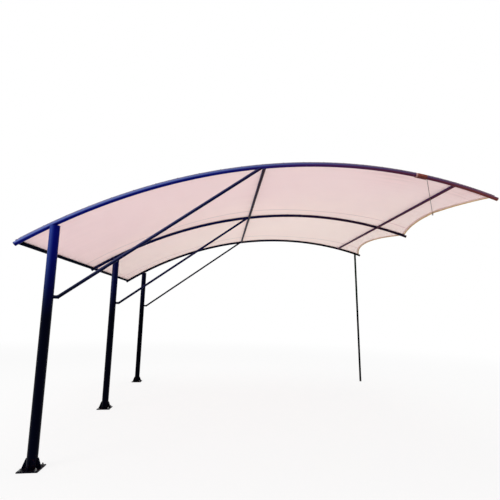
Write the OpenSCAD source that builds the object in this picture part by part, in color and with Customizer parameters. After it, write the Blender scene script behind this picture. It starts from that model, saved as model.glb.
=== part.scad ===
// Tensile parking shade: three cantilevered pipe frames, braced posts and a stretched fabric canopy.
// X runs from the post row to the free edge, Y along the post row, Z up.
// The origin is on the ground under the middle post.

/* [Bays] */
// Distance between neighbouring frames
bay = 2500; // [2200:10:3000]

/* [Ribs] */
// Height of the rib axis above the ground, on the axis of the post
eave_h = 2570; // [2400:10:2900]
// Bend radius of the rib axis
rib_r = 6840; // [6300:10:7800]
// Horizontal distance from the post to the crown of the rib
crown_x = 3475; // [3200:5:3800]
// Horizontal distance from the post to the front end of the rib
reach = 5440; // [5200:10:5800]
// Horizontal distance from the post to the back end of the rib
back_over = 388; // [300:2:500]
// Outer diameter of the rib pipe
rib_d = 48.3; // [46:0.1:64]
// Wall of the rib pipe
rib_wall = 3.5; // [2:0.5:6]
// Diameter of the flange on a rib's end plug
plug_d = 52; // [49:0.5:70]
// Thickness of the flange on a rib's end plug
plug_t = 5; // [3:0.5:10]
// Length of a plug inside the pipe
plug_in = 30; // [15:1:60]

/* [Posts] */
// Outer diameter of the post pipe
post_d = 101.6; // [89:0.1:130]
// Wall of the post pipe
post_wall = 4.5; // [3:0.5:8]
// Drop from the rib axis to the top of the post cap
cap_drop = 24; // [16:1:26]
// Thickness of the post cap
cap_t = 6; // [4:0.5:10]
// Overhang of the post cap beyond the pipe
cap_lip = 2; // [0.5:0.5:6]

/* [Feet] */
// Side of the square base plate
plate_w = 200; // [195:5:260]
// Thickness of the base plate
plate_t = 12; // [8:1:25]
// Spacing of the anchor holes
hole_pitch = 150; // [140:5:160]
// Diameter of the anchor holes
hole_d = 14; // [10:1:18]
// Height of a foot gusset
gusset_h = 100; // [70:5:160]
// Length of a foot gusset along the plate
gusset_w = 42; // [30:1:45]
// Thickness of a foot gusset
gusset_t = 8; // [5:1:14]
// Blunt nose at the two tips of a gusset
gusset_nose = 10; // [6:1:20]

/* [Purlins] */
// Outer diameter of the purlin pipe
purlin_d = 42.4; // [34:0.1:42.4]
// Wall of the purlin pipe
purlin_wall = 3; // [2:0.5:5]
// Drop of the purlin tops below the rib tops
purlin_drop = 4; // [3:0.5:8]
// Distance from the back end of a rib to the back purlin
back_inset = 30; // [28:1:100]
// Horizontal distance from the post to the middle purlin
mid_x = 2310; // [2310:5:2800]
// Distance from the front end of a rib to the edge purlin
edge_inset = 600; // [450:10:750]

/* [Struts] */
// Outer diameter of the strut pipe
strut_d = 38; // [32:0.5:42]
// Wall of the strut pipe
strut_wall = 3; // [2:0.5:5]
// Height of the stub that carries the strut's foot, on its axis
lug_z = 1762; // [1500:2:2000]
// Horizontal distance from the post axis to the mitre between stub and strut
lug_x = 97; // [90:1:130]
// Horizontal distance from the post to the strut's upper end on the rib axis
strut_top_x = 2285; // [1900:5:2285]

/* [Membrane] */
// Thickness of the fabric
fabric_t = 2; // [1:0.5:5]
// Sag of the fabric in the middle of a field
field_sag = 40; // [10:1:60]
// Sag of the free edge in the middle of a bay
edge_sag = 20; // [5:1:40]
// Distance from the rib's front end to the fabric's corner
corner_back = 50; // [20:5:120]
// Depth of the free edge's curve in the front bay
front_dip = 190; // [60:5:240]
// Extra depth of the front bay's edge where the tie pulls it in
tie_pull = 40; // [10:5:120]
// Place of the tie along the front bay, as a share of the bay
tie_at = 0.44; // [0.3:0.01:0.6]
// Depth of the free edge's curve in the rear bay
rear_dip = 270; // [100:5:300]
// Diameter of the edge hem
hem_d = 20; // [14:1:28]

/* [Clamp bars] */
// Width of a clamp bar
bar_w = 24; // [16:1:34]
// Thickness of a clamp bar
bar_t = 3; // [2:0.5:6]
// Length of the plate on the fabric's middle corner
corner_len = 120; // [60:5:200]
// Width of the plate on the fabric's middle corner
corner_w = 34; // [24:1:46]

/* [Tie] */
// Diameter of the tie cord
cord_d = 8; // [5:0.5:12]
// Distance from the front rib's front end to the place where the tie leaves the rib
tie_inset = 1000; // [850:5:1100]
// Turns of cord round the front rib
lash_turns = 20; // [6:1:24]
// Diameter of the knot on the free edge
knot_d = 26; // [20:1:40]

/* [Prop] */
// Outer diameter of the prop
prop_d = 48.3; // [38:0.1:50]
// Wall of the prop
prop_wall = 3; // [2:0.5:5]
// Distance from the rear rib's front end to the prop's axis on the rib
prop_inset = 135; // [60:5:200]
// How much further out than its top the prop stands on the ground
prop_lean = 145; // [0:5:200]

/* [Hidden] */
// Segments of a full round, for pipes and for the long arch
pipe_fn = 64;
$fn = pipe_fn;
arch_fn = 900;
// Clearance left at every seat
seat = 0.3;
// Overlap by which a cutter runs past the face that it cuts
cut = 1;
// Clear distance between the rib pipe and what passes by it
rib_gap = 2;
// Gap under the fabric that clears the ribs between its rows of points
lay_gap = 0.7;
// Rows of fabric points along the arch, and columns across each stretch
rows = 40;
tie_cols = 10;
bay_cols = 20;
// Sides of the swept tubes
hem_sides = 10;
cord_sides = 8;
// Rings along each hem
hem_rings = 36;
// Places of the three frames along the post row
front = -bay;
middle = 0;
rear = bay;
// Centre of the rib's bend
arc_z = eave_h - sqrt(rib_r * rib_r - crown_x * crown_x);
// Levels and places that follow from the sizes above
cap_top = eave_h - cap_drop;
post_top = cap_top - cap_t;
back_x = back_inset - back_over;
edge_x = reach - edge_inset;
tie_x = reach - tie_inset;
prop_x = reach - prop_inset;
corner_x = reach - corner_back;
rib_top_r = rib_r + rib_d / 2;
lay_r = rib_top_r + lay_gap;
bar_r = lay_r + fabric_t + seat;
purlin_r = rib_top_r - purlin_drop - purlin_d / 2;
skirt = bar_w / 2;
// Seats of the strut on its stub and on the rib, and the tilt of the mitre from the vertical
strut_foot = [lug_x, 0, lug_z];
strut_head = [strut_top_x, 0, rib_z(strut_top_x)];
strut_run = strut_head - strut_foot;
strut_tilt = atan2(strut_run.x, strut_run.z);
mitre_tilt = (strut_tilt + 90) / 2;
// Angles along the arch, measured from the front horizontal
front_a = arc_angle(reach);
back_a = arc_angle(-back_over);
back_purlin_a = arc_angle(back_x);
strut_seat_a = arc_angle(strut_top_x - rib_d);
fabric_back_a = back_purlin_a + arc_step(skirt);
// Where the tie meets the free edge
tie_y = front + bay * tie_at;

paint = "#141d45";
paint_dark = "#0d1230";
cloth = "#efdcd8";
webbing = "#b9a497";
cord_tint = "#8a6a58";
rubber = "#2b1a1c";

// Geometry of the arch

// Height of an arc of radius r above the ground at x
function rib_z(x, r = rib_r) = arc_z + sqrt(r * r - (x - crown_x) * (x - crown_x));

// Angle of the rib axis at x
function arc_angle(x) = acos((x - crown_x) / rib_r);

// Angle that spans a length along the rib axis
function arc_step(length) = length / rib_r * 180 / PI;

// Point at an angle and radius of the arch, in the plane at y
function arc_point(a, r, y) = [crown_x + r * cos(a), y, arc_z + r * sin(a)];

// Sweeps a profile along the arch: its x is the radius, its y lies across the arch
module along_arch(a0, a1) {
    translate([crown_x, 0, arc_z])
        rotate([90, 0, 0])
            rotate([0, 0, a0])
                rotate_extrude(angle = a1 - a0, $fn = arch_fn)
                    children();
}

// Disc of a pipe, set on the rib's axis
module on_axis(d) {
    translate([rib_r, 0]) circle(d = d, $fn = pipe_fn);
}

// Moves a piece to a frame's plane
module at_frame(y) {
    translate([0, y, 0]) children();
}

// Solid bar of the rib's outside, with the clearance of a coped seat
module rib_core() {
    along_arch(front_a, back_a) on_axis(rib_d + 2 * seat);
}

// Feet and posts

module base_plate() {
    difference() {
        translate([-plate_w / 2, -plate_w / 2, 0]) cube([plate_w, plate_w, plate_t]);
        for (sx = [-1, 1], sy = [-1, 1])
            translate([sx * hole_pitch / 2, sy * hole_pitch / 2, -cut])
                cylinder(d = hole_d, h = plate_t + 2 * cut);
    }
}

module gussets() {
    for (turn = [0:90:270])
        rotate([0, 0, turn])
            translate([post_d / 2, gusset_t / 2, plate_t])
                rotate([90, 0, 0])
                    linear_extrude(gusset_t)
                        polygon([
                            [0, 0], [gusset_w, 0], [gusset_w, gusset_nose],
                            [gusset_nose, gusset_h], [0, gusset_h]
                        ]);
}

module post() {
    difference() {
        translate([0, 0, plate_t]) cylinder(d = post_d, h = post_top - plate_t);
        translate([0, 0, plate_t - cut])
            cylinder(d = post_d - 2 * post_wall, h = post_top - plate_t + 2 * cut);
        rib_core();
    }
}

module post_cap() {
    difference() {
        translate([0, 0, post_top]) cylinder(d = post_d + 2 * cap_lip, h = cap_t);
        rib_core();
    }
}

// Ribs and purlins

module rib() {
    along_arch(front_a, back_a)
        difference() {
            on_axis(rib_d);
            on_axis(rib_d - 2 * rib_wall);
        }
}

// One plug fills the pipe end at angle a, and side points out of the pipe
module rib_plug(a, side) {
    flange_a = a + side * arc_step(plug_t);
    root_a = a + side * arc_step(plug_t / 2);
    stem_a = a - side * arc_step(plug_in);
    along_arch(min(a, flange_a), max(a, flange_a)) on_axis(plug_d);
    along_arch(min(root_a, stem_a), max(root_a, stem_a)) on_axis(rib_d - 2 * rib_wall - 2 * seat);
}

module rib_plugs() {
    rib_plug(front_a, -1);
    rib_plug(back_a, 1);
}

// Straight bar that stands for the rib over the width of a pipe that meets it at angle a
module rib_stub(a) {
    translate(arc_point(a, rib_r, 0))
        rotate([0, 180 - a, 0])
            cylinder(d = rib_d + 2 * seat, h = 4 * purlin_d, center = true);
}

// A purlin length between the frame at y and the next one, coped to both ribs
module purlin(x, y) {
    a = arc_angle(x);
    start = arc_point(a, purlin_r, y);
    difference() {
        translate(start) rotate([-90, 0, 0]) cylinder(d = purlin_d, h = bay);
        translate(start - [0, cut, 0]) rotate([-90, 0, 0])
            cylinder(d = purlin_d - 2 * purlin_wall, h = bay + 2 * cut);
        at_frame(y) rib_stub(a);
        at_frame(y + bay) rib_stub(a);
    }
}

// Struts

// Everything on one side of the mitre: side is 1 beyond it, towards the rib, and -1 before it
module past_mitre(side) {
    reach_out = 4 * strut_d;
    translate(strut_foot)
        rotate([0, mitre_tilt, 0])
            translate([0, 0, side * (reach_out - seat) / 2])
                cube(reach_out, center = true);
}

// Level bar from the post's axis to beyond the mitre
module stub_bar(d) {
    translate([0, 0, lug_z])
        rotate([0, 90, 0])
            cylinder(d = d, h = lug_x + strut_d);
}

// Short pipe between the post and the strut, mitred to the strut
module strut_lug() {
    difference() {
        stub_bar(strut_d);
        stub_bar(strut_d - 2 * strut_wall);
        translate([0, 0, lug_z - strut_d]) cylinder(d = post_d + 2 * seat, h = 2 * strut_d);
        past_mitre(1);
    }
}

// Bar along the strut's axis that starts below the mitre
module strut_bar(d) {
    translate(strut_foot)
        rotate([0, strut_tilt, 0])
            translate([0, 0, -strut_d])
                cylinder(d = d, h = norm(strut_run) + strut_d);
}

module strut() {
    difference() {
        strut_bar(strut_d);
        strut_bar(strut_d - 2 * strut_wall);
        past_mitre(-1);
        rib_stub(strut_seat_a);
    }
}

// Fabric

// Share of the way across the bay that holds y
function across(y) = y < 0 ? (max(y, front) + bay) / bay : min(y, rear) / bay;

// Hump that is 0 on the ribs and 1 in the middle of a bay
function hump(y) = 4 * across(y) * (1 - across(y));

// Hump that is 0 on the purlins and 1 between two of them
function field(x, x0, x1) = x <= x0 || x >= x1 ? 0 : pow(sin(180 * (x - x0) / (x1 - x0)), 2);

// How far the tie draws the front bay's edge in, from 0 on the ribs to 1 at the tie
function draw_in(t) = t < tie_at ? t / tie_at : (1 - t) / (1 - tie_at);

// Depth of the free edge behind the line of the corners
function scallop(y) = y < 0
    ? front_dip * hump(y) + tie_pull * draw_in(across(y))
    : rear_dip * hump(y);

// Sag of the fabric below the ribs' tops
function sag(x, y) = hump(y) * (purlin_drop
    + field_sag * (field(x, back_x, mid_x) + field(x, mid_x, edge_x))
    + edge_sag * pow(max(0, x - edge_x) / (corner_x - edge_x), 2));

// Angle of the fabric's free edge at y, further out by a length along the arch
function fabric_edge_a(y, out = 0) = arc_angle(corner_x - scallop(y)) - arc_step(out);

// Point on the fabric at an angle of the arch, raised by lift above its underside
function fabric_point(a, y, lift = 0) =
    arc_point(a, lay_r - sag(crown_x + rib_r * cos(a), y) + lift, y);

// Columns of fabric points: one on each rib, one at the tie, the rest evenly between
fabric_ys = concat(
    [front - skirt],
    [for (k = [0:tie_cols - 1]) front + (tie_y - front) * k / tie_cols],
    [for (k = [0:tie_cols - 1]) tie_y - tie_y * k / tie_cols],
    [for (k = [0:bay_cols]) rear * k / bay_cols],
    [rear + skirt]
);

module membrane() {
    cols = len(fabric_ys);
    last_row = rows;
    last_col = cols - 1;
    top = (rows + 1) * cols;
    function id(i, j) = i * cols + j;
    function row_a(i, y) = fabric_back_a + (fabric_edge_a(y) - fabric_back_a) * i / rows;
    function quad(a, b, c, d) = [[a, b, c], [a, c, d]];
    points = [
        for (lift = [0, fabric_t], i = [0:rows], y = fabric_ys) fabric_point(row_a(i, y), y, lift)
    ];
    faces = concat(
        [for (i = [0:rows - 1], j = [0:last_col - 1])
            each quad(top + id(i, j), top + id(i, j + 1), top + id(i + 1, j + 1), top + id(i + 1, j))],
        [for (i = [0:rows - 1], j = [0:last_col - 1])
            each quad(id(i, j), id(i + 1, j), id(i + 1, j + 1), id(i, j + 1))],
        [for (i = [0:rows - 1])
            each quad(id(i, 0), top + id(i, 0), top + id(i + 1, 0), id(i + 1, 0))],
        [for (i = [0:rows - 1])
            each quad(id(i, last_col), id(i + 1, last_col), top + id(i + 1, last_col), top + id(i, last_col))],
        [for (j = [0:last_col - 1])
            each quad(id(0, j), id(0, j + 1), top + id(0, j + 1), top + id(0, j))],
        [for (j = [0:last_col - 1])
            each quad(id(last_row, j), top + id(last_row, j), top + id(last_row, j + 1), id(last_row, j + 1))]
    );
    color(cloth) polyhedron(points, faces);
}

// Tubes swept along a path

function unit(v) = v / norm(v);

function path_dir(path, k) = unit(path[min(k + 1, len(path) - 1)] - path[max(k - 1, 0)]);

function ring(centre, dir, d, sides) =
    let (side = unit(cross(dir, [0, 0, 1])), up = cross(side, dir))
    [for (s = [0:sides - 1])
        let (a = 360 * (s + 0.5) / sides) centre + d / 2 * (cos(a) * side + sin(a) * up)];

module swept_tube(path, d, sides) {
    last = len(path) - 1;
    points = [for (k = [0:last]) each ring(path[k], path_dir(path, k), d, sides)];
    function id(k, s) = k * sides + s % sides;
    faces = concat(
        [[for (s = [sides - 1:-1:0]) id(0, s)]],
        [for (k = [0:last - 1], s = [0:sides - 1])
            each [[id(k, s), id(k, s + 1), id(k + 1, s + 1)], [id(k, s), id(k + 1, s + 1), id(k + 1, s)]]],
        [[for (s = [0:sides - 1]) id(last, s)]]
    );
    polyhedron(points, faces);
}

// Angle in plan between the free edge and the post row at y
function edge_lean(y) = atan((scallop(y + cut) - scallop(y - cut)) / (2 * cut));

// Axis of the hem at y, just outside the fabric's edge
function hem_point(y) =
    fabric_point(fabric_edge_a(y, (hem_d / 2 + 2 * seat) / cos(edge_lean(y))), y, fabric_t / 2);

// Hem along the free edge between two frames, clear of both ribs
module edge_hem(y0, y1) {
    inset = rib_d / 2 + rib_gap;
    path = [for (k = [0:hem_rings]) hem_point(y0 + inset + (y1 - y0 - 2 * inset) * k / hem_rings)];
    swept_tube(path, hem_d, hem_sides);
}

// Clamp bars

// Flat bar on the fabric over a rib, between two angles of the arch
module arch_bar(a0, a1, width) {
    along_arch(a0, a1)
        translate([bar_r, -width / 2]) square([bar_t, width]);
}

module rib_clamp_bar() {
    arch_bar(arc_angle(corner_x), back_purlin_a - arc_step(bar_w), bar_w);
}

// Tie

// The knot hangs under the loop round the hem
knot_at = hem_point(tie_y) - [0, 0, hem_d / 2 + cord_d + knot_d / 2 - seat];
// The cord leaves the underside of the front rib and passes under the edge purlin
tie_start = [tie_x, front, rib_z(tie_x) - rib_d / 2 - cord_d / 2 - rib_gap];
purlin_share = (edge_x - tie_x) / (knot_at.x - tie_x);
purlin_under = arc_point(arc_angle(edge_x), purlin_r, 0).z - purlin_d / 2 - cord_d / 2 - seat;
tie_bend = [edge_x, front + (tie_y - front) * purlin_share, purlin_under];
tie_end = knot_at - unit(knot_at - tie_bend) * (knot_d / 2 + seat);

module tie_cord() {
    steps = 6;
    path = concat(
        [for (k = [0:steps - 1]) tie_start + (tie_bend - tie_start) * k / steps],
        [for (k = [0:steps]) tie_bend + (tie_end - tie_bend) * k / steps]
    );
    swept_tube(path, cord_d, cord_sides);
}

// Loop round the hem, open where the fabric comes in, with the knot under it
module knot() {
    open_a = 40;
    loop_r = hem_d / 2 + cord_d / 2 + 4 * seat;
    translate(hem_point(tie_y))
        rotate([90, 0, 0])
            rotate([0, 0, open_a - 180])
                rotate_extrude(angle = 360 - 2 * open_a)
                    translate([loop_r, 0]) circle(d = cord_d);
    translate(knot_at) sphere(d = knot_d);
}

// Close turns of cord round the rib, open at the top for the fabric and its bar
module lashing() {
    pitch = 0.96 * cord_d;
    length = (lash_turns - 1) * pitch + cord_d;
    middle_a = arc_angle(tie_x) + arc_step(length / 2 + cord_d);
    bar_side_a = 212;
    under_fabric_a = 490;
    translate(arc_point(middle_a, rib_r, 0))
        rotate([0, 180 - middle_a, 0])
            rotate([0, 0, bar_side_a])
                rotate_extrude(angle = under_fabric_a - bar_side_a)
                    for (k = [0:lash_turns - 1])
                        translate([rib_d / 2 + cord_d / 2 + 2 * seat, (k - (lash_turns - 1) / 2) * pitch])
                            circle(d = cord_d);
}

// Nodes

module front_base_plate() { color(paint_dark) at_frame(front) base_plate(); }
module middle_base_plate() { color(paint_dark) at_frame(middle) base_plate(); }
module rear_base_plate() { color(paint_dark) at_frame(rear) base_plate(); }
module front_foot_gussets() { color(paint_dark) at_frame(front) gussets(); }
module middle_foot_gussets() { color(paint_dark) at_frame(middle) gussets(); }
module rear_foot_gussets() { color(paint_dark) at_frame(rear) gussets(); }
module front_post() { color(paint) at_frame(front) post(); }
module middle_post() { color(paint) at_frame(middle) post(); }
module rear_post() { color(paint) at_frame(rear) post(); }
module front_post_cap() { color(paint) at_frame(front) post_cap(); }
module middle_post_cap() { color(paint) at_frame(middle) post_cap(); }
module rear_post_cap() { color(paint) at_frame(rear) post_cap(); }
module front_rib() { color(paint) at_frame(front) rib(); }
module middle_rib() { color(paint) at_frame(middle) rib(); }
module rear_rib() { color(paint) at_frame(rear) rib(); }
module front_rib_plugs() { color(rubber) at_frame(front) rib_plugs(); }
module middle_rib_plugs() { color(rubber) at_frame(middle) rib_plugs(); }
module rear_rib_plugs() { color(rubber) at_frame(rear) rib_plugs(); }
module back_purlin_front_bay() { color(paint) purlin(back_x, front); }
module back_purlin_rear_bay() { color(paint) purlin(back_x, middle); }
module mid_purlin_front_bay() { color(paint) purlin(mid_x, front); }
module mid_purlin_rear_bay() { color(paint) purlin(mid_x, middle); }
module edge_purlin_front_bay() { color(paint) purlin(edge_x, front); }
module edge_purlin_rear_bay() { color(paint) purlin(edge_x, middle); }
module front_strut_lug() { color(paint) at_frame(front) strut_lug(); }
module middle_strut_lug() { color(paint) at_frame(middle) strut_lug(); }
module rear_strut_lug() { color(paint) at_frame(rear) strut_lug(); }
module front_strut() { color(paint) at_frame(front) strut(); }
module middle_strut() { color(paint) at_frame(middle) strut(); }
module rear_strut() { color(paint) at_frame(rear) strut(); }
module front_edge_hem() { color(webbing) edge_hem(front, middle); }
module rear_edge_hem() { color(webbing) edge_hem(middle, rear); }
module front_rib_clamp_bar() { color(paint) at_frame(front) rib_clamp_bar(); }
module rear_rib_clamp_bar() { color(paint) at_frame(rear) rib_clamp_bar(); }

module back_clamp_bar() {
    color(paint)
        translate([crown_x, front - skirt, arc_z])
            rotate([0, -back_purlin_a, 0])
                translate([bar_r, 0, -bar_w / 2])
                    cube([bar_t, 2 * bay + bar_w, bar_w]);
}

module corner_plate() {
    corner_a = arc_angle(corner_x);
    color(paint) arch_bar(corner_a, corner_a + arc_step(corner_len), corner_w);
}

module rib_lashing() { color(cord_tint) at_frame(front) lashing(); }
module edge_tie_cord() { color(cord_tint) tie_cord(); }
module tie_knot() { color(cord_tint) knot(); }

// Bar along the prop's axis, from below the ground to the rear rib's axis
module prop_bar(d) {
    top = [prop_x, rear, rib_z(prop_x)];
    foot = [prop_x + prop_lean, rear, 0];
    lean = atan2(prop_lean, top.z);
    translate(foot)
        rotate([0, -lean, 0])
            translate([0, 0, -prop_d])
                cylinder(d = d, h = norm(top - foot) + prop_d);
}

module prop() {
    below = 2 * prop_d;
    color(paint_dark)
        difference() {
            prop_bar(prop_d);
            prop_bar(prop_d - 2 * prop_wall);
            translate([prop_x + prop_lean, rear, -below / 2]) cube([2 * below, 2 * below, below], center = true);
            at_frame(rear) rib_core();
        }
}

front_base_plate();
middle_base_plate();
rear_base_plate();
front_foot_gussets();
middle_foot_gussets();
rear_foot_gussets();
front_post();
middle_post();
rear_post();
front_post_cap();
middle_post_cap();
rear_post_cap();
front_rib();
middle_rib();
rear_rib();
front_rib_plugs();
middle_rib_plugs();
rear_rib_plugs();
back_purlin_front_bay();
back_purlin_rear_bay();
mid_purlin_front_bay();
mid_purlin_rear_bay();
edge_purlin_front_bay();
edge_purlin_rear_bay();
front_strut_lug();
middle_strut_lug();
rear_strut_lug();
front_strut();
middle_strut();
rear_strut();
membrane();
front_edge_hem();
rear_edge_hem();
front_rib_clamp_bar();
rear_rib_clamp_bar();
back_clamp_bar();
corner_plate();
rib_lashing();
edge_tie_cord();
tie_knot();
prop();
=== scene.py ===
"""Looks of the tensile parking shade: painted pipe frames, stretched fabric, rope tie and studio."""

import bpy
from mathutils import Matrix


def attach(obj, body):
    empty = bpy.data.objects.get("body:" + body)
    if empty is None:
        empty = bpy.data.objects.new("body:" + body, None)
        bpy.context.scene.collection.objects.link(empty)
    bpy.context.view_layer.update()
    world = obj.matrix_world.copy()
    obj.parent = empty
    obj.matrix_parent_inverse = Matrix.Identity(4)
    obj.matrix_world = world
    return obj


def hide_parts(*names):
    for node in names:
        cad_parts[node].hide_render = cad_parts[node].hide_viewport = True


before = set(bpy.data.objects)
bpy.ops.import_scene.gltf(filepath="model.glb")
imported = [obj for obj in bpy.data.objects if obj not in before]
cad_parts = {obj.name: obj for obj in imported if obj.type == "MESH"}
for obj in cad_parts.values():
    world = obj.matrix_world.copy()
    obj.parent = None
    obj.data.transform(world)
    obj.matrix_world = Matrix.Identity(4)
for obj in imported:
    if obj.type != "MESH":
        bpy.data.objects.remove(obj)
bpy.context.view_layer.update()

import logging
import math
from dataclasses import dataclass
from enum import Enum
from typing import Any, Callable, Iterable, Sequence

import bpy
from mathutils import Matrix, Vector
from mathutils import noise as waves

Socket = bpy.types.NodeSocket
Material = bpy.types.Material
Piece = bpy.types.Object

LOG = logging.getLogger("parking_shade")
BODY = "root"
WAVE_TURN = 6.283
FULL_TURN = 2 * math.pi
HEX_SIDES = 6
ROPE_SIDES = 12
ROPE_STRANDS = 3
STRAND_DEPTH = 0.14
TINY = 1e-9
FRAME_NAMES = ("front", "middle", "rear")
BAY_NAMES = ("front_bay", "rear_bay")


class Coords(Enum):
    """Where a finish takes its pattern from."""

    OBJECT = "Object"
    UV = "UV"


def linear(code: str) -> tuple[float, float, float, float]:
    """Turn a hex colour into a linear one.

    Args:
        code: Colour as "#rrggbb".

    Returns:
        Linear red, green, blue and full alpha.
    """
    parts = [int(code[i:i + 2], 16) / 255 for i in (1, 3, 5)]
    red, green, blue = [c / 12.92 if c <= 0.04045 else ((c + 0.055) / 1.055) ** 2.4 for c in parts]
    return red, green, blue, 1.0


def smooth(value: float, low: float, high: float) -> float:
    """Ease from 0 at low to 1 at high."""
    t = min(1.0, max(0.0, (value - low) / (high - low)))
    return t * t * (3 - 2 * t)


def spaced(low: float, high: float, steps: int) -> list[float]:
    """Evenly spaced numbers from low to high, both kept."""
    return [low + (high - low) * i / steps for i in range(steps + 1)]


def round_spot(centre: Vector, radius: float, turn: float, side: Vector, up: Vector) -> Vector:
    """Point on a circle, at a turn from its side towards its up direction."""
    return centre + radius * (math.cos(turn) * side + math.sin(turn) * up)


def put_in_scene(name: str, data: bpy.types.ID) -> Piece:
    """Make an object of a mesh, a lamp or a camera and link it to the scene.

    Args:
        name: Name of the object.
        data: Its mesh, lamp or camera.

    Returns:
        The object.
    """
    made = bpy.data.objects.new(name, data)
    bpy.context.scene.collection.objects.link(made)
    return made


class NodeWork:
    """A node tree that is written in code."""

    def __init__(self, tree: bpy.types.NodeTree) -> None:
        """Take up a tree."""
        self.tree = tree

    def node(self, kind: str, **settings: Any) -> bpy.types.Node:
        """Add a node and set its properties.

        Args:
            kind: Blender's name for the kind of node.
            **settings: Values of its properties.

        Returns:
            The node.
        """
        made = self.tree.nodes.new(kind)
        for key, value in settings.items():
            setattr(made, key, value)
        return made

    def feed(self, target: Socket, value: Any) -> None:
        """Link a socket, or set a plain value, on the target socket.

        Args:
            target: The socket that takes the value.
            value: A socket to link, or a plain value.
        """
        if isinstance(value, Socket):
            self.tree.links.new(value, target)
        else:
            target.default_value = value

    def calc(self, operation: str, first: Any, second: Any) -> Socket:
        """Combine two values with one Math operation.

        Args:
            operation: What to do with them.
            first: A socket or a number.
            second: A socket or a number.

        Returns:
            The result.
        """
        made = self.node("ShaderNodeMath", operation=operation)
        self.feed(made.inputs[0], first)
        self.feed(made.inputs[1], second)
        return made.outputs[0]

    def span(self, value: Socket, low: float, high: float, start: float = 0.0,
             end: float = 1.0) -> Socket:
        """Map low..high onto start..end, eased and clamped.

        Args:
            value: What is mapped.
            low: Input that gives start.
            high: Input that gives end.
            start: Output at low.
            end: Output at high.

        Returns:
            The mapped value.
        """
        made = self.node("ShaderNodeMapRange", interpolation_type="SMOOTHSTEP")
        for key, number in zip(("Value", "From Min", "From Max", "To Min", "To Max"),
                               (value, low, high, start, end)):
            self.feed(made.inputs[key], number)
        return made.outputs[0]

    def seen(self) -> Socket:
        """One for rays that see a surface straight, in a reflection or through glass.

        Returns:
            One or zero for each ray.
        """
        path = self.node("ShaderNodeLightPath").outputs
        indirect = self.calc("MAXIMUM", path["Is Glossy Ray"], path["Is Transmission Ray"])
        return self.calc("MAXIMUM", path["Is Camera Ray"], indirect)


class Shader(NodeWork):
    """A Principled material whose detail comes from nodes."""

    def __init__(self, name: str, **constants: Any) -> None:
        """Start the material.

        Args:
            name: Name of the finish.
            **constants: Values for the shader's own sockets, with _ for a space.
        """
        self.material = bpy.data.materials.new(name)
        self.material.use_nodes = True
        super().__init__(self.material.node_tree)
        self.surface = self.tree.nodes["Principled BSDF"]
        for key, value in constants.items():
            self.surface.inputs[key.replace("_", " ")].default_value = value

    def dress(self, **sockets: Socket) -> None:
        """Link sockets to the shader, with _ for a space in a socket's name."""
        for key, value in sockets.items():
            self.feed(self.surface.inputs[key.replace("_", " ")], value)

    def place(self, coords: Coords, scale: Sequence[float] = (1, 1, 1)) -> Socket:
        """Give the pattern's coordinates.

        Args:
            coords: Where they come from.
            scale: Stretch on each axis.

        Returns:
            A vector socket.
        """
        source = self.node("ShaderNodeTexCoord").outputs[coords.value]
        mapping = self.node("ShaderNodeMapping")
        mapping.inputs["Scale"].default_value = scale
        self.feed(mapping.inputs["Vector"], source)
        return mapping.outputs["Vector"]

    def axis(self, vector: Socket, name: str) -> Socket:
        """Take one axis, X, Y or Z, of a vector.

        Args:
            vector: The vector.
            name: Which axis.

        Returns:
            Its value on that axis.
        """
        split = self.node("ShaderNodeSeparateXYZ")
        self.feed(split.inputs[0], vector)
        return split.outputs[name]

    def noise(self, vector: Socket, scale: float, detail: float = 3.0) -> Socket:
        """Give a cloudy pattern from 0 to 1.

        Args:
            vector: The pattern's coordinates.
            scale: How fine it is.
            detail: How many finer layers it has.

        Returns:
            The pattern.
        """
        made = self.node("ShaderNodeTexNoise")
        self.feed(made.inputs["Vector"], vector)
        made.inputs["Scale"].default_value = scale
        made.inputs["Detail"].default_value = detail
        return made.outputs[0]

    def mix(self, factor: Any, first: Any, second: Any) -> Socket:
        """Blend two colours, each a socket or a hex code, by a factor.

        Args:
            factor: Share of the second colour.
            first: The colour at zero.
            second: The colour at one.

        Returns:
            The blended colour.
        """
        made = self.node("ShaderNodeMix", data_type="RGBA")
        for number, value in ((0, factor), (6, first), (7, second)):
            self.feed(made.inputs[number], linear(value) if isinstance(value, str) else value)
        return made.outputs[2]

    def wave(self, vector: Socket, way: str, per_metre: float, wander: float) -> Socket:
        """Give ribs across one way of a pattern in metres.

        Args:
            vector: The pattern's coordinates.
            way: X, Y or DIAGONAL.
            per_metre: Number of ribs to the metre.
            wander: How much they wander.

        Returns:
            The height of the ribs, from 0 to 1.
        """
        made = self.node("ShaderNodeTexWave", bands_direction=way)
        self.feed(made.inputs["Vector"], vector)
        made.inputs["Scale"].default_value = per_metre / WAVE_TURN
        made.inputs["Distortion"].default_value = wander
        return made.outputs["Fac"]

    def bump(self, height: Socket, depth: float, strength: float,
             under: Socket | None = None) -> Socket:
        """Raise the surface by a pattern.

        Args:
            height: The pattern.
            depth: Its depth in metres.
            strength: From 0 to 1.
            under: A coarser bump that this one lies on.

        Returns:
            A normal socket.
        """
        made = self.node("ShaderNodeBump")
        made.inputs["Distance"].default_value = depth
        made.inputs["Strength"].default_value = strength
        self.feed(made.inputs["Height"], height)
        if under is not None:
            self.feed(made.inputs["Normal"], under)
        return made.outputs[0]

    def attribute(self, name: str) -> Socket:
        """Read a number that the mesh carries at its points."""
        return self.node("ShaderNodeAttribute", attribute_name=name).outputs["Fac"]


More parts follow.
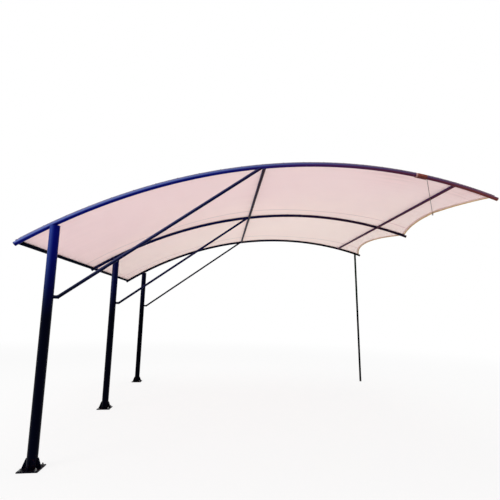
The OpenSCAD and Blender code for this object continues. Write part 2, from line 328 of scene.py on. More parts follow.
@dataclass(frozen=True)
class Enamel:
    """Gloss enamel brushed on pipe: navy high up and plum towards the free edge, with painted shade that
    makes it near black low down and a painted highlight on the side that faces light_side.
    """

    name: str
    navy: str = "#040a66"
    paler: str = "#0a1370"
    # highlight_tint, light_side, highlight_from, highlight_edge and highlight_share set a painted highlight
    # on the side that faces light_side
    highlight_tint: str = "#2e428c"
    # shade_black, reached between black_to and black_from, is painted shade towards the foot
    shade_black: str = "#010103"
    plum: str = "#58262f"
    russet: str = "#74382a"
    dust: str = "#4d464c"
    rust: str = "#3a1c12"
    sheen: tuple[float, float, float, float] = (0.35, 0.45, 1.0, 1.0)
    light_side: tuple[float, float, float] = (-0.75, -0.25, 0.61)
    gloss: float = 0.04
    black_from: float = 1.5
    black_to: float = 2.5
    black_share: float = 0.985
    highlight_from: float = 0.3
    highlight_edge: tuple[float, float] = (-0.1, 0.65)
    highlight_share: tuple[float, float] = (0.85, 0.3)
    plum_from: float = 1.6
    plum_to: float = 4.4
    plum_share: float = 0.9
    tip_run: float = 1.0
    tip_share: float = 0.85
    dust_share: float = 0.3
    splash: tuple[float, float] = (0.02, 0.2)
    cloud_scale: float = 5.0
    speck_scale: float = 42.0
    chip_scale: float = 90.0
    brush_scale: float = 55.0
    brush_depth: float = 0.0006
    peel_scale: float = 420.0
    peel_depth: float = 0.0002

    def make(self) -> Material:
        """Build the material from Object coordinates.

        Returns:
            The finished material.
        """
        paint = Shader(self.name, Specular_Tint=self.sheen, Specular_IOR_Level=self.gloss)
        spot = paint.place(Coords.OBJECT)
        along = paint.axis(spot, "X")
        height = paint.axis(spot, "Z")
        cloud = paint.noise(spot, self.cloud_scale, 4.0)
        tint = paint.mix(paint.span(cloud, 0.42, 0.72), self.navy, self.paler)
        far = paint.span(along, self.plum_from, self.plum_to, 0.0, self.plum_share)
        tint = paint.mix(far, tint, self.plum)
        tip = paint.span(along, self.plum_to, self.plum_to + self.tip_run, 0.0, self.tip_share)
        tint = paint.mix(tip, tint, self.russet)
        # Painted highlight: paler on the side that faces light_side, weaker towards the free edge
        normal = paint.node("ShaderNodeNewGeometry").outputs["Normal"]
        sun = paint.node("ShaderNodeVectorMath", operation="DOT_PRODUCT")
        paint.feed(sun.inputs[0], normal)
        paint.feed(sun.inputs[1], self.light_side)
        paler = paint.calc("MULTIPLY", paint.span(sun.outputs["Value"], *self.highlight_edge),
                           paint.span(along, self.highlight_from, self.plum_to, *self.highlight_share))
        tint = paint.mix(paler, tint, self.highlight_tint)
        # Painted shade: near black towards the foot of the pipes
        dark = paint.span(height, self.black_from, self.black_to, self.black_share, 0.0)
        tint = paint.mix(dark, tint, self.shade_black)
        speck = paint.noise(spot, self.speck_scale, 6.0)
        level = paint.span(paint.axis(normal, "Z"), 0.5, 1.0, 0.0, self.dust_share)
        tint = paint.mix(paint.calc("MULTIPLY", level, paint.span(speck, 0.4, 0.7)), tint, self.dust)
        chip = paint.span(paint.noise(spot, self.chip_scale, 5.0), 0.6, 0.66, 0.0, 0.6)
        chips = paint.calc("MULTIPLY", paint.span(height, *self.splash, 1.0, 0.0), chip)
        tint = paint.mix(chips, tint, self.rust)
        worn = paint.span(speck, 0.3, 0.75, 0.24, 0.36)
        rough = paint.calc("ADD", worn, paint.calc("MULTIPLY", chips, 0.4))
        strokes = paint.noise(paint.place(Coords.OBJECT, (1.0, 1.0, 0.35)), self.brush_scale, 2.0)
        brush = paint.bump(strokes, self.brush_depth, 0.2)
        peel = paint.bump(paint.noise(spot, self.peel_scale, 2.0), self.peel_depth, 0.2, brush)
        paint.dress(Base_Color=tint, Roughness=rough, Normal=peel)
        return paint.material


@dataclass(frozen=True)
class CoatedFabric:
    """Pale shade fabric: woven scrim in a thin coat that lets light through."""

    name: str = "shade_fabric"
    pale: str = "#fec9c0"
    # rosy_shade is painted shade: a darker, rosier tone that rosy_shade_across and rosy_shade_along lay
    # towards the front bay and the back edge
    rosy_shade: str = "#eab7b9"
    lap_tint: str = "#d3abab"
    # shade_and_grime_tint is dirt with painted shade along the pipes, and painted shadow in shadow_patches
    shade_and_grime_tint: str = "#b28f92"
    cloud_scale: float = 0.8
    rosy_shade_across: tuple[float, float, float, float] = (-2.6, 1.6, 0.7, 0.0)
    rosy_shade_along: tuple[float, float, float, float] = (0.0, 6.0, 0.2, -0.1)
    streak_stretch: tuple[float, float, float] = (14.0, 0.9, 1.0)
    threads_per_metre: float = 330.0
    thread_depth: float = 0.0004
    thread_wander: float = 0.6

    def make(self) -> Material:
        """Build the material from the sheet's UV map, in metres, and its lap and shade_and_grime values.

        Returns:
            The finished material.
        """
        cloth = Shader(self.name, Specular_IOR_Level=0.01, Subsurface_Weight=1.0,
                       Subsurface_Radius=(1.0, 1.0, 1.0), Subsurface_Scale=0.02)
        flat = cloth.place(Coords.UV)
        cloud = cloth.span(cloth.noise(flat, self.cloud_scale, 3.0), 0.3, 0.7, -0.1, 0.1)
        across = cloth.span(cloth.axis(flat, "X"), *self.rosy_shade_across)
        along = cloth.span(cloth.axis(flat, "Y"), *self.rosy_shade_along)
        # Painted shade: darker and rosier towards the front bay and the back edge
        where = cloth.calc("ADD", cloth.calc("ADD", across, along), cloud)
        tint = cloth.mix(cloth.span(where, -0.1, 1.0), self.pale, self.rosy_shade)
        streak = cloth.noise(cloth.place(Coords.UV, self.streak_stretch), 1.0, 5.0)
        # Dirt and painted shadow, from the shade_and_grime values
        shade_and_grime = cloth.calc("MULTIPLY", cloth.attribute("shade_and_grime"), cloth.span(streak, 0.35, 0.75, 0.25, 0.8))
        tint = cloth.mix(shade_and_grime, tint, self.shade_and_grime_tint)
        tint = cloth.mix(cloth.calc("MULTIPLY", cloth.attribute("lap"), 0.8), tint, self.lap_tint)
        warp, weft = (cloth.wave(flat, way, self.threads_per_metre, self.thread_wander) for way in "XY")
        weave = cloth.bump(cloth.calc("MAXIMUM", warp, weft), self.thread_depth, 0.3)
        rough = cloth.span(streak, 0.3, 0.7, 0.5, 0.64)
        cloth.dress(Base_Color=tint, Roughness=rough, Normal=weave)
        return cloth.material


@dataclass(frozen=True)
class Webbing:
    """Hem webbing with a twill rib: a golden sleeve over the edge rope, and a pale lap on the fabric."""

    name: str = "hem_webbing"
    light: str = "#e2c48c"
    shade: str = "#c4a26c"
    lap: str = "#f3d4d0"
    sleeve_girth: float = 0.066
    ribs_per_metre: float = 160.0
    rib_wander: float = 1.0
    rib_depth: float = 0.0006
    soil_scale: float = 9.0
    lap_blend: float = 0.003

    def make(self) -> Material:
        """Build the material from the hem's UV map in metres.

        Returns:
            The finished material.
        """
        band = Shader(self.name, Specular_IOR_Level=0.2, Sheen_Weight=0.15)
        flat = band.place(Coords.UV)
        twill = band.wave(flat, "DIAGONAL", self.ribs_per_metre, self.rib_wander)
        soil = band.noise(flat, self.soil_scale, 5.0)
        tint = band.mix(band.span(soil, 0.35, 0.7), self.light, self.shade)
        on_cloth = band.span(band.axis(flat, "Y"), self.sleeve_girth, self.sleeve_girth + self.lap_blend)
        worn = band.mix(band.span(soil, 0.4, 0.75, 0.0, 0.35), self.lap, self.light)
        tint = band.mix(on_cloth, tint, worn)
        rib = band.bump(twill, self.rib_depth, 0.5)
        band.dress(Base_Color=tint, Roughness=band.span(soil, 0.3, 0.7, 0.7, 0.9), Normal=rib)
        return band.material


@dataclass(frozen=True)
class Rope:
    """Twisted rope, fibrous and sun bleached in places."""

    name: str
    body: str
    bleached: str
    underside_shade: str
    patch_scale: float = 38.0
    fibre_scale: float = 900.0
    fibre_depth: float = 0.0006

    def make(self) -> Material:
        """Build the material from Object coordinates, with painted shade where the rope faces down.

        Returns:
            The finished material.
        """
        rope = Shader(self.name, Specular_IOR_Level=0.15, Sheen_Weight=0.15)
        spot = rope.place(Coords.OBJECT)
        patch = rope.noise(spot, self.patch_scale, 4.0)
        fibre = rope.noise(spot, self.fibre_scale, 3.0)
        tint = rope.mix(rope.span(patch, 0.35, 0.7), self.body, self.bleached)
        # Painted shade: darker where the rope faces down
        facing = rope.axis(rope.node("ShaderNodeNewGeometry").outputs["Normal"], "Z")
        tint = rope.mix(rope.span(facing, -0.6, 0.3, 0.75, 0.0), tint, self.underside_shade)
        rope.dress(Base_Color=tint, Roughness=rope.span(fibre, 0.3, 0.7, 0.75, 0.95),
                   Normal=rope.bump(fibre, self.fibre_depth, 0.6))
        return rope.material


@dataclass(frozen=True)
class Plastic:
    """Moulded plastic, chalky from the sun."""

    name: str = "plug_plastic"
    body: str = "#c9b39a"
    chalk: str = "#e2d6c6"
    back: str = "#0c1250"
    front_span: tuple[float, float] = (1.0, 4.0)
    patch_scale: float = 60.0
    grain_scale: float = 700.0
    grain_depth: float = 0.0003

    def make(self) -> Material:
        """Build the material from Object coordinates.

        Returns:
            The finished material.
        """
        plug = Shader(self.name, Specular_IOR_Level=0.35)
        spot = plug.place(Coords.OBJECT)
        patch = plug.noise(spot, self.patch_scale, 4.0)
        tint = plug.mix(plug.span(patch, 0.4, 0.7), self.body, self.chalk)
        tint = plug.mix(plug.span(plug.axis(spot, "X"), *self.front_span), self.back, tint)
        plug.dress(Base_Color=tint, Roughness=plug.span(patch, 0.3, 0.7, 0.45, 0.65),
                   Normal=plug.bump(plug.noise(spot, self.grain_scale, 2.0), self.grain_depth, 0.3))
        return plug.material


@dataclass(frozen=True)
class Zinc:
    """Zinc plated steel of the bolts and screws, dulled, with rust blooms."""

    name: str = "zinc_hardware"
    bright: str = "#9a9da0"
    dull: str = "#6a6966"
    rust: str = "#5d3018"
    cloud_scale: float = 140.0
    cloud_depth: float = 0.0003
    bloom_scale: float = 70.0

    def make(self) -> Material:
        """Build the material from Object coordinates.

        Returns:
            The finished material.
        """
        zinc = Shader(self.name, Metallic=0.85)
        spot = zinc.place(Coords.OBJECT)
        cloud = zinc.noise(spot, self.cloud_scale, 4.0)
        bloom = zinc.span(zinc.noise(spot, self.bloom_scale, 5.0), 0.55, 0.68, 0.0, 0.7)
        tint = zinc.mix(zinc.span(cloud, 0.35, 0.7), self.bright, self.dull)
        tint = zinc.mix(bloom, tint, self.rust)
        worn = zinc.span(cloud, 0.3, 0.7, 0.35, 0.55)
        rough = zinc.calc("ADD", worn, zinc.calc("MULTIPLY", bloom, 0.4))
        zinc.dress(Base_Color=tint, Roughness=rough, Normal=zinc.bump(cloud, self.cloud_depth, 0.3))
        return zinc.material


class Pen:
    """Gathers the points and faces of one piece, then makes its object."""

    def __init__(self) -> None:
        """Start with nothing drawn."""
        self.points: list[Vector] = []
        self.faces: list[tuple[int, ...]] = []
        self.flat: list[tuple[float, float]] = []

    def add(self, point: Vector, flat: tuple[float, float] = (0.0, 0.0)) -> int:
        """Add a point with its place on the UV map and give its index.

        Args:
            point: The point.
            flat: Its place on the UV map.

        Returns:
            Its index.
        """
        self.points.append(Vector(point))
        self.flat.append(flat)
        return len(self.points) - 1

    def loft(self, rings: Sequence[Sequence[Vector]], looped: bool = False,
             flat: Callable[[int, int], tuple[float, float]] | None = None) -> None:
        """Skin closed rings of equal count, with flat ends.

        Args:
            rings: Rings in order, each counter-clockwise seen against the direction of travel.
            looped: True if the last ring joins the first.
            flat: Gives the UV place of point j of ring i.
        """
        sides = len(rings[0])
        grid = [[self.add(p, flat(i, j) if flat else (0.0, 0.0)) for j, p in enumerate(ring)]
                for i, ring in enumerate(rings)]
        turns = len(rings) if looped else len(rings) - 1
        for i in range(turns):
            here, there = grid[i], grid[(i + 1) % len(rings)]
            for j in range(sides):
                k = (j + 1) % sides
                self.faces.append((here[j], here[k], there[k], there[j]))
        if not looped:
            self.faces.append(tuple(reversed(grid[0])))
            self.faces.append(tuple(grid[-1]))

    def make(self, name: str, material: Material) -> Piece:
        """Make the object, with soft shading.

        Args:
            name: Name of the piece.
            material: Its finish.

        Returns:
            The object, at the origin and linked to the scene.
        """
        mesh = bpy.data.meshes.new(name)
        mesh.from_pydata([tuple(p) for p in self.points], [], self.faces)
        layer = mesh.uv_layers.new(name="flat")
        for loop in mesh.loops:
            layer.data[loop.index].uv = self.flat[loop.vertex_index]
        mesh.polygons.foreach_set("use_smooth", [True] * len(mesh.polygons))
        mesh.materials.append(material)
        mesh.update()
        return put_in_scene(name, mesh)


def travel(path: Sequence[Vector]) -> list[tuple[Vector, Vector]]:
    """Carry a frame along a path without needless twist.

    Args:
        path: Points in order.

    Returns:
        Side and up at each point, both square to the path.
    """
    last = len(path) - 1
    tangents = [(path[min(i + 1, last)] - path[max(i - 1, 0)]).normalized() for i in range(last + 1)]
    side = tangents[0].orthogonal().normalized()
    frames = []
    for tangent in tangents:
        side = (side - tangent * side.dot(tangent)).normalized()
        frames.append((side, tangent.cross(side)))
    return frames


def rope_rings(path: Sequence[Vector], thick: float, lay: float) -> list[list[Vector]]:
    """Rings of a twisted rope along a path.

    Args:
        path: Points in order, a few to each turn of the lay.
        thick: Rope thickness.
        lay: Length of one full twist.

    Returns:
        One ring for each point of the path.
    """
    rings = []
    run = 0.0
    for i, (side, up) in enumerate(travel(path)):
        if i:
            run += (path[i] - path[i - 1]).length
        twist = FULL_TURN * run / lay
        ring = []
        for turn in spaced(0.0, FULL_TURN, ROPE_SIDES)[:-1]:
            strand = 1 - math.cos(ROPE_STRANDS * (turn - twist))
            ring.append(round_spot(path[i], thick / 2 * (1 - STRAND_DEPTH * strand), turn, side, up))
        rings.append(ring)
    return rings


def resample(path: Sequence[Vector], step: float) -> list[Vector]:
    """Points at an even step along a path, ends kept.

    Args:
        path: Points in order.
        step: The step to come close to.

    Returns:
        The new points.
    """
    lengths = [0.0]
    for a, b in zip(path, path[1:]):
        lengths.append(lengths[-1] + (b - a).length)
    count = max(2, round(lengths[-1] / step))
    points = []
    k = 0
    for at in spaced(0.0, lengths[-1], count):
        while k < len(path) - 2 and lengths[k + 1] < at:
            k += 1
        share = (at - lengths[k]) / max(TINY, lengths[k + 1] - lengths[k])
        points.append(path[k].lerp(path[k + 1], min(1.0, share)))
    return points


@dataclass(frozen=True)
class Arch:
    """The arch that ribs, purlins and fabric follow, in metres."""

    bay: float = 2.5
    eave_height: float = 2.57
    rib_radius: float = 6.84
    crown_x: float = 3.475
    back_x: float = -0.358
    mid_x: float = 2.31
    edge_x: float = 4.84
    corner_x: float = 5.39
    rib_thick: float = 0.0483
    purlin_thick: float = 0.0424
    purlin_drop: float = 0.004

    @property
    def rows(self) -> tuple[float, float, float]:
        """Planes of the front, middle and rear frame along Y."""
        return -self.bay, 0.0, self.bay

    @property
    def centre_z(self) -> float:
        """Height of the arch's centre."""
        return self.eave_height - math.sqrt(self.rib_radius ** 2 - self.crown_x ** 2)

    @property
    def centre(self) -> Vector:
        """Centre of the arch in the plane of the middle frame."""
        return Vector((self.crown_x, 0.0, self.centre_z))

    @property
    def purlin_radius(self) -> float:
        """Distance of the purlins' axes from the arch's centre."""
        return self.rib_radius + (self.rib_thick - self.purlin_thick) / 2 - self.purlin_drop

    def angle(self, x: float) -> float:
        """Angle on the arch, from +X, of a place on the rib axis."""
        return math.acos((x - self.crown_x) / self.rib_radius)

    def place(self, angle: float) -> float:
        """Place across the shade of an angle on the rib axis."""
        return self.crown_x + self.rib_radius * math.cos(angle)

    def step(self, length: float) -> float:
        """Angle taken by a length on the rib axis."""
        return length / self.rib_radius

    def point(self, angle: float, radius: float, y: float) -> Vector:
        """Point at an angle and a radius, in the frame plane y."""
        return Vector((self.crown_x + radius * math.cos(angle), y, self.centre_z + radius * math.sin(angle)))

    def out(self, angle: float) -> Vector:
        """Direction away from the arch's centre."""
        return Vector((math.cos(angle), 0.0, math.sin(angle)))

    def down_slope(self, angle: float) -> Vector:
        """Direction along the arch towards the free edge."""
        return Vector((math.sin(angle), 0.0, -math.cos(angle)))

    def from_rib(self, spot: Vector, y: float) -> float:
        """Distance of a spot from the axis of the rib in the plane y."""
        ring = math.hypot(spot.x - self.crown_x, spot.z - self.centre_z) - self.rib_radius
        return math.hypot(ring, spot.y - y)


class RepeatTree(NodeWork):
    """A Geometry Nodes tree that sets one small shape again and again."""

    def __init__(self, name: str) -> None:
        """Start the tree with its geometry and material sockets.

        Args:
            name: Name of the tree.
        """
        super().__init__(bpy.data.node_groups.new(name, "GeometryNodeTree"))
        self.sockets: dict[str, str] = {}
        self.tree.interface.new_socket("Geometry", in_out="OUTPUT", socket_type="NodeSocketGeometry")
        self.tree.interface.new_socket("Geometry", in_out="INPUT", socket_type="NodeSocketGeometry")
        self.inlet = self.tree.nodes.new("NodeGroupInput")
        self.outlet = self.tree.nodes.new("NodeGroupOutput")
        self.finish = self.ask("Finish", "NodeSocketMaterial")

    def ask(self, name: str, kind: str = "NodeSocketFloat") -> Socket:
        """Add a named input and give its socket inside the tree.

        Args:
            name: Name of the input.
            kind: Kind of its socket.

        Returns:
            The socket inside the tree.
        """
        made = self.tree.interface.new_socket(name, in_out="INPUT", socket_type=kind)
        self.sockets[name] = made.identifier
        return self.inlet.outputs[name]

    def ask_sizes(self, *names: str) -> list[Socket]:
        """Add several named lengths and give their sockets."""
        return [self.ask(name) for name in names]

    def fill(self, node: bpy.types.Node, **values: Any) -> bpy.types.Node:
        """Link or set a node's enabled inputs by name, with _ for a space.

        Args:
            node: The node.
            **values: Sockets or plain values.

        Returns:
            The node.
        """
        for key, value in values.items():
            self.feed(next(s for s in node.inputs if s.enabled and s.name == key.replace("_", " ")), value)
        return node

    def disc(self, sides: int, radius: Any, depth: Any, base: Any) -> Socket:
        """A prism whose foot stands at a height.

        Args:
            sides: Number of sides.
            radius: Radius to its corners.
            depth: Its height.
            base: Height of its foot.

        Returns:
            The prism's geometry.
        """
        made = self.node("GeometryNodeMeshCylinder", fill_type="NGON")
        self.fill(made, Vertices=sides, Radius=radius, Depth=depth)
        return self.lift(made.outputs["Mesh"], self.calc("ADD", base, self.calc("MULTIPLY", depth, 0.5)))

    def lift(self, geometry: Socket, height: Any) -> Socket:
        """Move geometry up by a height.

        Args:
            geometry: What is moved.
            height: How far.

        Returns:
            The moved geometry.
        """
        shift = self.node("ShaderNodeCombineXYZ")
        self.fill(shift, Z=height)
        made = self.node("GeometryNodeTransform")
        self.fill(made, Geometry=geometry, Translation=shift.outputs[0])
        return made.outputs[0]

    def join(self, *parts: Socket) -> Socket:
        """Join geometry.

        Args:
            *parts: Geometry to join.

        Returns:
            The joined geometry.
        """
        made = self.node("GeometryNodeJoinGeometry")
        for part in parts:
            self.tree.links.new(part, made.inputs[0])
        return made.outputs[0]

    def along(self, pitch: Socket) -> Socket:
        """Turn the input's edges into lines of points at a pitch.

        Args:
            pitch: Distance between points.

        Returns:
            The lines of points.
        """
        curve = self.fill(self.node("GeometryNodeMeshToCurve"), Mesh=self.inlet.outputs["Geometry"])
        even = self.node("GeometryNodeResampleCurve", mode="LENGTH")
        self.fill(even, Curve=curve.outputs[0], Length=pitch)
        return even.outputs[0]

    def away_from(self, centre: Socket) -> Socket:
        """Direction from an axis along Y through the centre to each point.

        Args:
            centre: A point on the axis.

        Returns:
            The direction, not of unit length.
        """
        result = self.node("GeometryNodeInputPosition").outputs[0]
        for operation, by in (("SUBTRACT", centre), ("MULTIPLY", (1.0, 0.0, 1.0))):
            made = self.node("ShaderNodeVectorMath", operation=operation)
            self.feed(made.inputs[0], result)
            self.feed(made.inputs[1], by)
            result = made.outputs[0]
        return result

    def chance(self, low: float, high: Any, seed: Socket) -> Socket:
        """A number for each point between low and high, from the seed.

        Args:
            low: The smallest number.
            high: The largest number.
            seed: The seed.

        Returns:
            The number.
        """
        made = self.node("FunctionNodeRandomValue", data_type="FLOAT")
        self.fill(made, Min=low, Max=high, Seed=seed)
        return next(s for s in made.outputs if s.enabled)

    def end(self, points: Socket, shape: Socket, rotation: Any = None,
            scale: Any = None) -> "RepeatTree":
        """Set the shape on the points, make it real, give it its finish and close the tree.

        Args:
            points: Where it goes.
            shape: What goes there.
            rotation: Its turn at each point.
            scale: Its scale at each point.

        Returns:
            The tree itself.
        """
        put = self.fill(self.node("GeometryNodeInstanceOnPoints"), Points=points, Instance=shape)
        if rotation is not None:
            self.fill(put, Rotation=rotation)
        if scale is not None:
            self.fill(put, Scale=scale)
        real = self.fill(self.node("GeometryNodeRealizeInstances"), Geometry=put.outputs[0])
        dressed = self.node("GeometryNodeSetMaterial")
        self.fill(dressed, Geometry=real.outputs[0], Material=self.finish)
        self.tree.links.new(dressed.outputs[0], self.outlet.inputs[0])
        return self

    def run(self, name: str, lines: Sequence[Sequence[Vector]], finish: Material,
            shade_smooth: bool = False, **sizes: Any) -> Piece:
        """Run the tree on points or lines and keep the result as a plain mesh.

        Args:
            name: Name of the piece.
            lines: Lines of points; a line of one point is a lone point.
            finish: The piece's finish.
            shade_smooth: True for soft shading.
            **sizes: Values of the tree's inputs, with _ for a space.

        Returns:
            The finished object.
        """
        points = [tuple(p) for line in lines for p in line]
        edges = []
        start = 0
        for line in lines:
            edges += [(start + i, start + i + 1) for i in range(len(line) - 1)]
            start += len(line)
        guide_mesh = bpy.data.meshes.new(name + "_guide")
        guide_mesh.from_pydata(points, edges, [])
        guide = put_in_scene(name + "_guide", guide_mesh)
        modifier = guide.modifiers.new(self.tree.name, "NODES")
        modifier.node_group = self.tree
        modifier[self.sockets["Finish"]] = finish
        for key, value in sizes.items():
            modifier[self.sockets[key.replace("_", " ")]] = value
        ready = guide.evaluated_get(bpy.context.evaluated_depsgraph_get())
        mesh = bpy.data.meshes.new_from_object(ready)
        mesh.name = name
        mesh.polygons.foreach_set("use_smooth", [shade_smooth] * len(mesh.polygons))
        guide.modifiers.remove(modifier)
        bpy.data.objects.remove(guide)
        bpy.data.meshes.remove(guide_mesh)
        return put_in_scene(name, mesh)


def anchor_tree() -> RepeatTree:
    """Washer, hex nut and stud on each point, turned by chance.

    Returns:
        The tree.
    """
    tree = RepeatTree("anchor_bolts")
    width, nut, stud, proud, washer = tree.ask_sizes("Nut Width", "Nut Height", "Stud Thick", "Stud Length",
                                                     "Washer Thick")
    seed = tree.ask("Seed", "NodeSocketInt")
    washer_share = 0.64
    tip_depth = 0.14
    tip_share = 0.36
    washer_sides = 28
    stud_sides = 16
    chamfer = tree.node("GeometryNodeMeshCone", fill_type="NGON")
    stud_radius = tree.calc("MULTIPLY", stud, 0.5)
    tree.fill(chamfer, Vertices=stud_sides, Radius_Top=tree.calc("MULTIPLY", stud, tip_share),
              Radius_Bottom=stud_radius, Depth=tree.calc("MULTIPLY", stud, tip_depth))
    shape = tree.join(
        tree.disc(washer_sides, tree.calc("MULTIPLY", width, washer_share), washer, 0.0),
        tree.disc(HEX_SIDES, tree.calc("DIVIDE", width, math.sqrt(3)), nut, washer),
        tree.disc(stud_sides, stud_radius, proud, 0.0),
        tree.lift(chamfer.outputs["Mesh"], proud),
    )
    turn = tree.node("ShaderNodeCombineXYZ")
    tree.fill(turn, Z=tree.chance(0.0, math.pi / 3, seed))
    return tree.end(tree.inlet.outputs["Geometry"], shape, turn.outputs[0])


def bar_screw_tree() -> RepeatTree:
    """Hex screws with washers at a pitch along lines, standing away from the arch's centre.

    Returns:
        The tree.
    """
    tree = RepeatTree("bar_screws")
    pitch, width, head, washer = tree.ask_sizes("Pitch", "Head Width", "Head Height", "Washer Thick")
    centre = tree.ask("Centre", "NodeSocketVector")
    washer_share = 0.8
    washer_sides = 20
    shape = tree.join(
        tree.disc(washer_sides, tree.calc("MULTIPLY", width, washer_share), washer, 0.0),
        tree.disc(HEX_SIDES, tree.calc("DIVIDE", width, math.sqrt(3)), head, washer),
    )
    turn = tree.node("FunctionNodeAlignRotationToVector", axis="Z")
    tree.fill(turn, Vector=tree.away_from(centre))
    return tree.end(tree.along(pitch), shape, turn.outputs[0])


def weld_tree() -> RepeatTree:
    """Beads of weld at a pitch along lines, each a little different.

    Returns:
        The tree.
    """
    tree = RepeatTree("weld_beads")
    pitch, size = tree.ask_sizes("Pitch", "Bead")
    seed = tree.ask("Seed", "NodeSocketInt")
    smallest = 0.82
    largest = 1.15
    ball = tree.node("GeometryNodeMeshUVSphere")
    tree.fill(ball, Radius=size, Segments=8, Rings=5)
    return tree.end(tree.along(pitch), ball.outputs["Mesh"], None, tree.chance(smallest, largest, seed))


def stitch_tree() -> RepeatTree:
    """Stitches at a pitch along lines, lying along them.

    Returns:
        The tree.
    """
    tree = RepeatTree("hem_stitches")
    pitch, length, thread = tree.ask_sizes("Pitch", "Length", "Thread")
    centre = tree.ask("Centre", "NodeSocketVector")
    ball = tree.node("GeometryNodeMeshIcoSphere")
    tree.fill(ball, Radius=0.5, Subdivisions=1)
    stretch = tree.node("ShaderNodeCombineXYZ")
    tree.fill(stretch, X=length, Y=thread, Z=thread)
    up = tree.node("FunctionNodeAlignRotationToVector", axis="Z")
    tree.fill(up, Vector=tree.away_from(centre))
    turn = tree.node("FunctionNodeAlignRotationToVector", axis="X", pivot_axis="Z")
    tree.fill(turn, Rotation=up.outputs[0], Vector=tree.node("GeometryNodeInputTangent").outputs[0])
    return tree.end(tree.along(pitch), ball.outputs["Mesh"], turn.outputs[0], stretch.outputs[0])


def settle(piece: Piece, nodes: Iterable[str] = ()) -> Piece:
    """Fix a piece to the body and report it.

    Args:
        piece: The finished piece.
        nodes: CAD nodes that it stands for.

    Returns:
        The piece.
    """
    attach(piece, BODY)
    names = list(nodes)
    if names:
        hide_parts(*names)
    LOG.info("%s: %d faces", piece.name, len(piece.data.polygons))
    return piece


@dataclass(frozen=True)
class Folds:
    """Sizes of the small folds in the tensioned fabric."""

    ripple: float = 0.0022
    ripple_scale: float = 1.7
    ripple_slice: float = 0.3
    corner: float = 0.006
    back_corner: float = 0.0035
    tie: float = 0.009
    rays: int = 11
    wander: float = 1.3
    wander_scale: float = 3.0
    wander_slice: float = 2.0
    reach: float = 1.6
    fade: float = 0.42
    start: tuple[float, float] = (0.02, 0.22)
    screw: float = 0.0012
    screw_pitch: float = 0.25
    screw_fade: float = 0.12
    off_rib: tuple[float, float] = (0.03, 0.13)
    off_back: tuple[float, float] = (0.02, 0.12)
    off_edge: tuple[float, float] = (0.06, 0.2)
    open_field: tuple[float, float] = (0.05, 0.4)


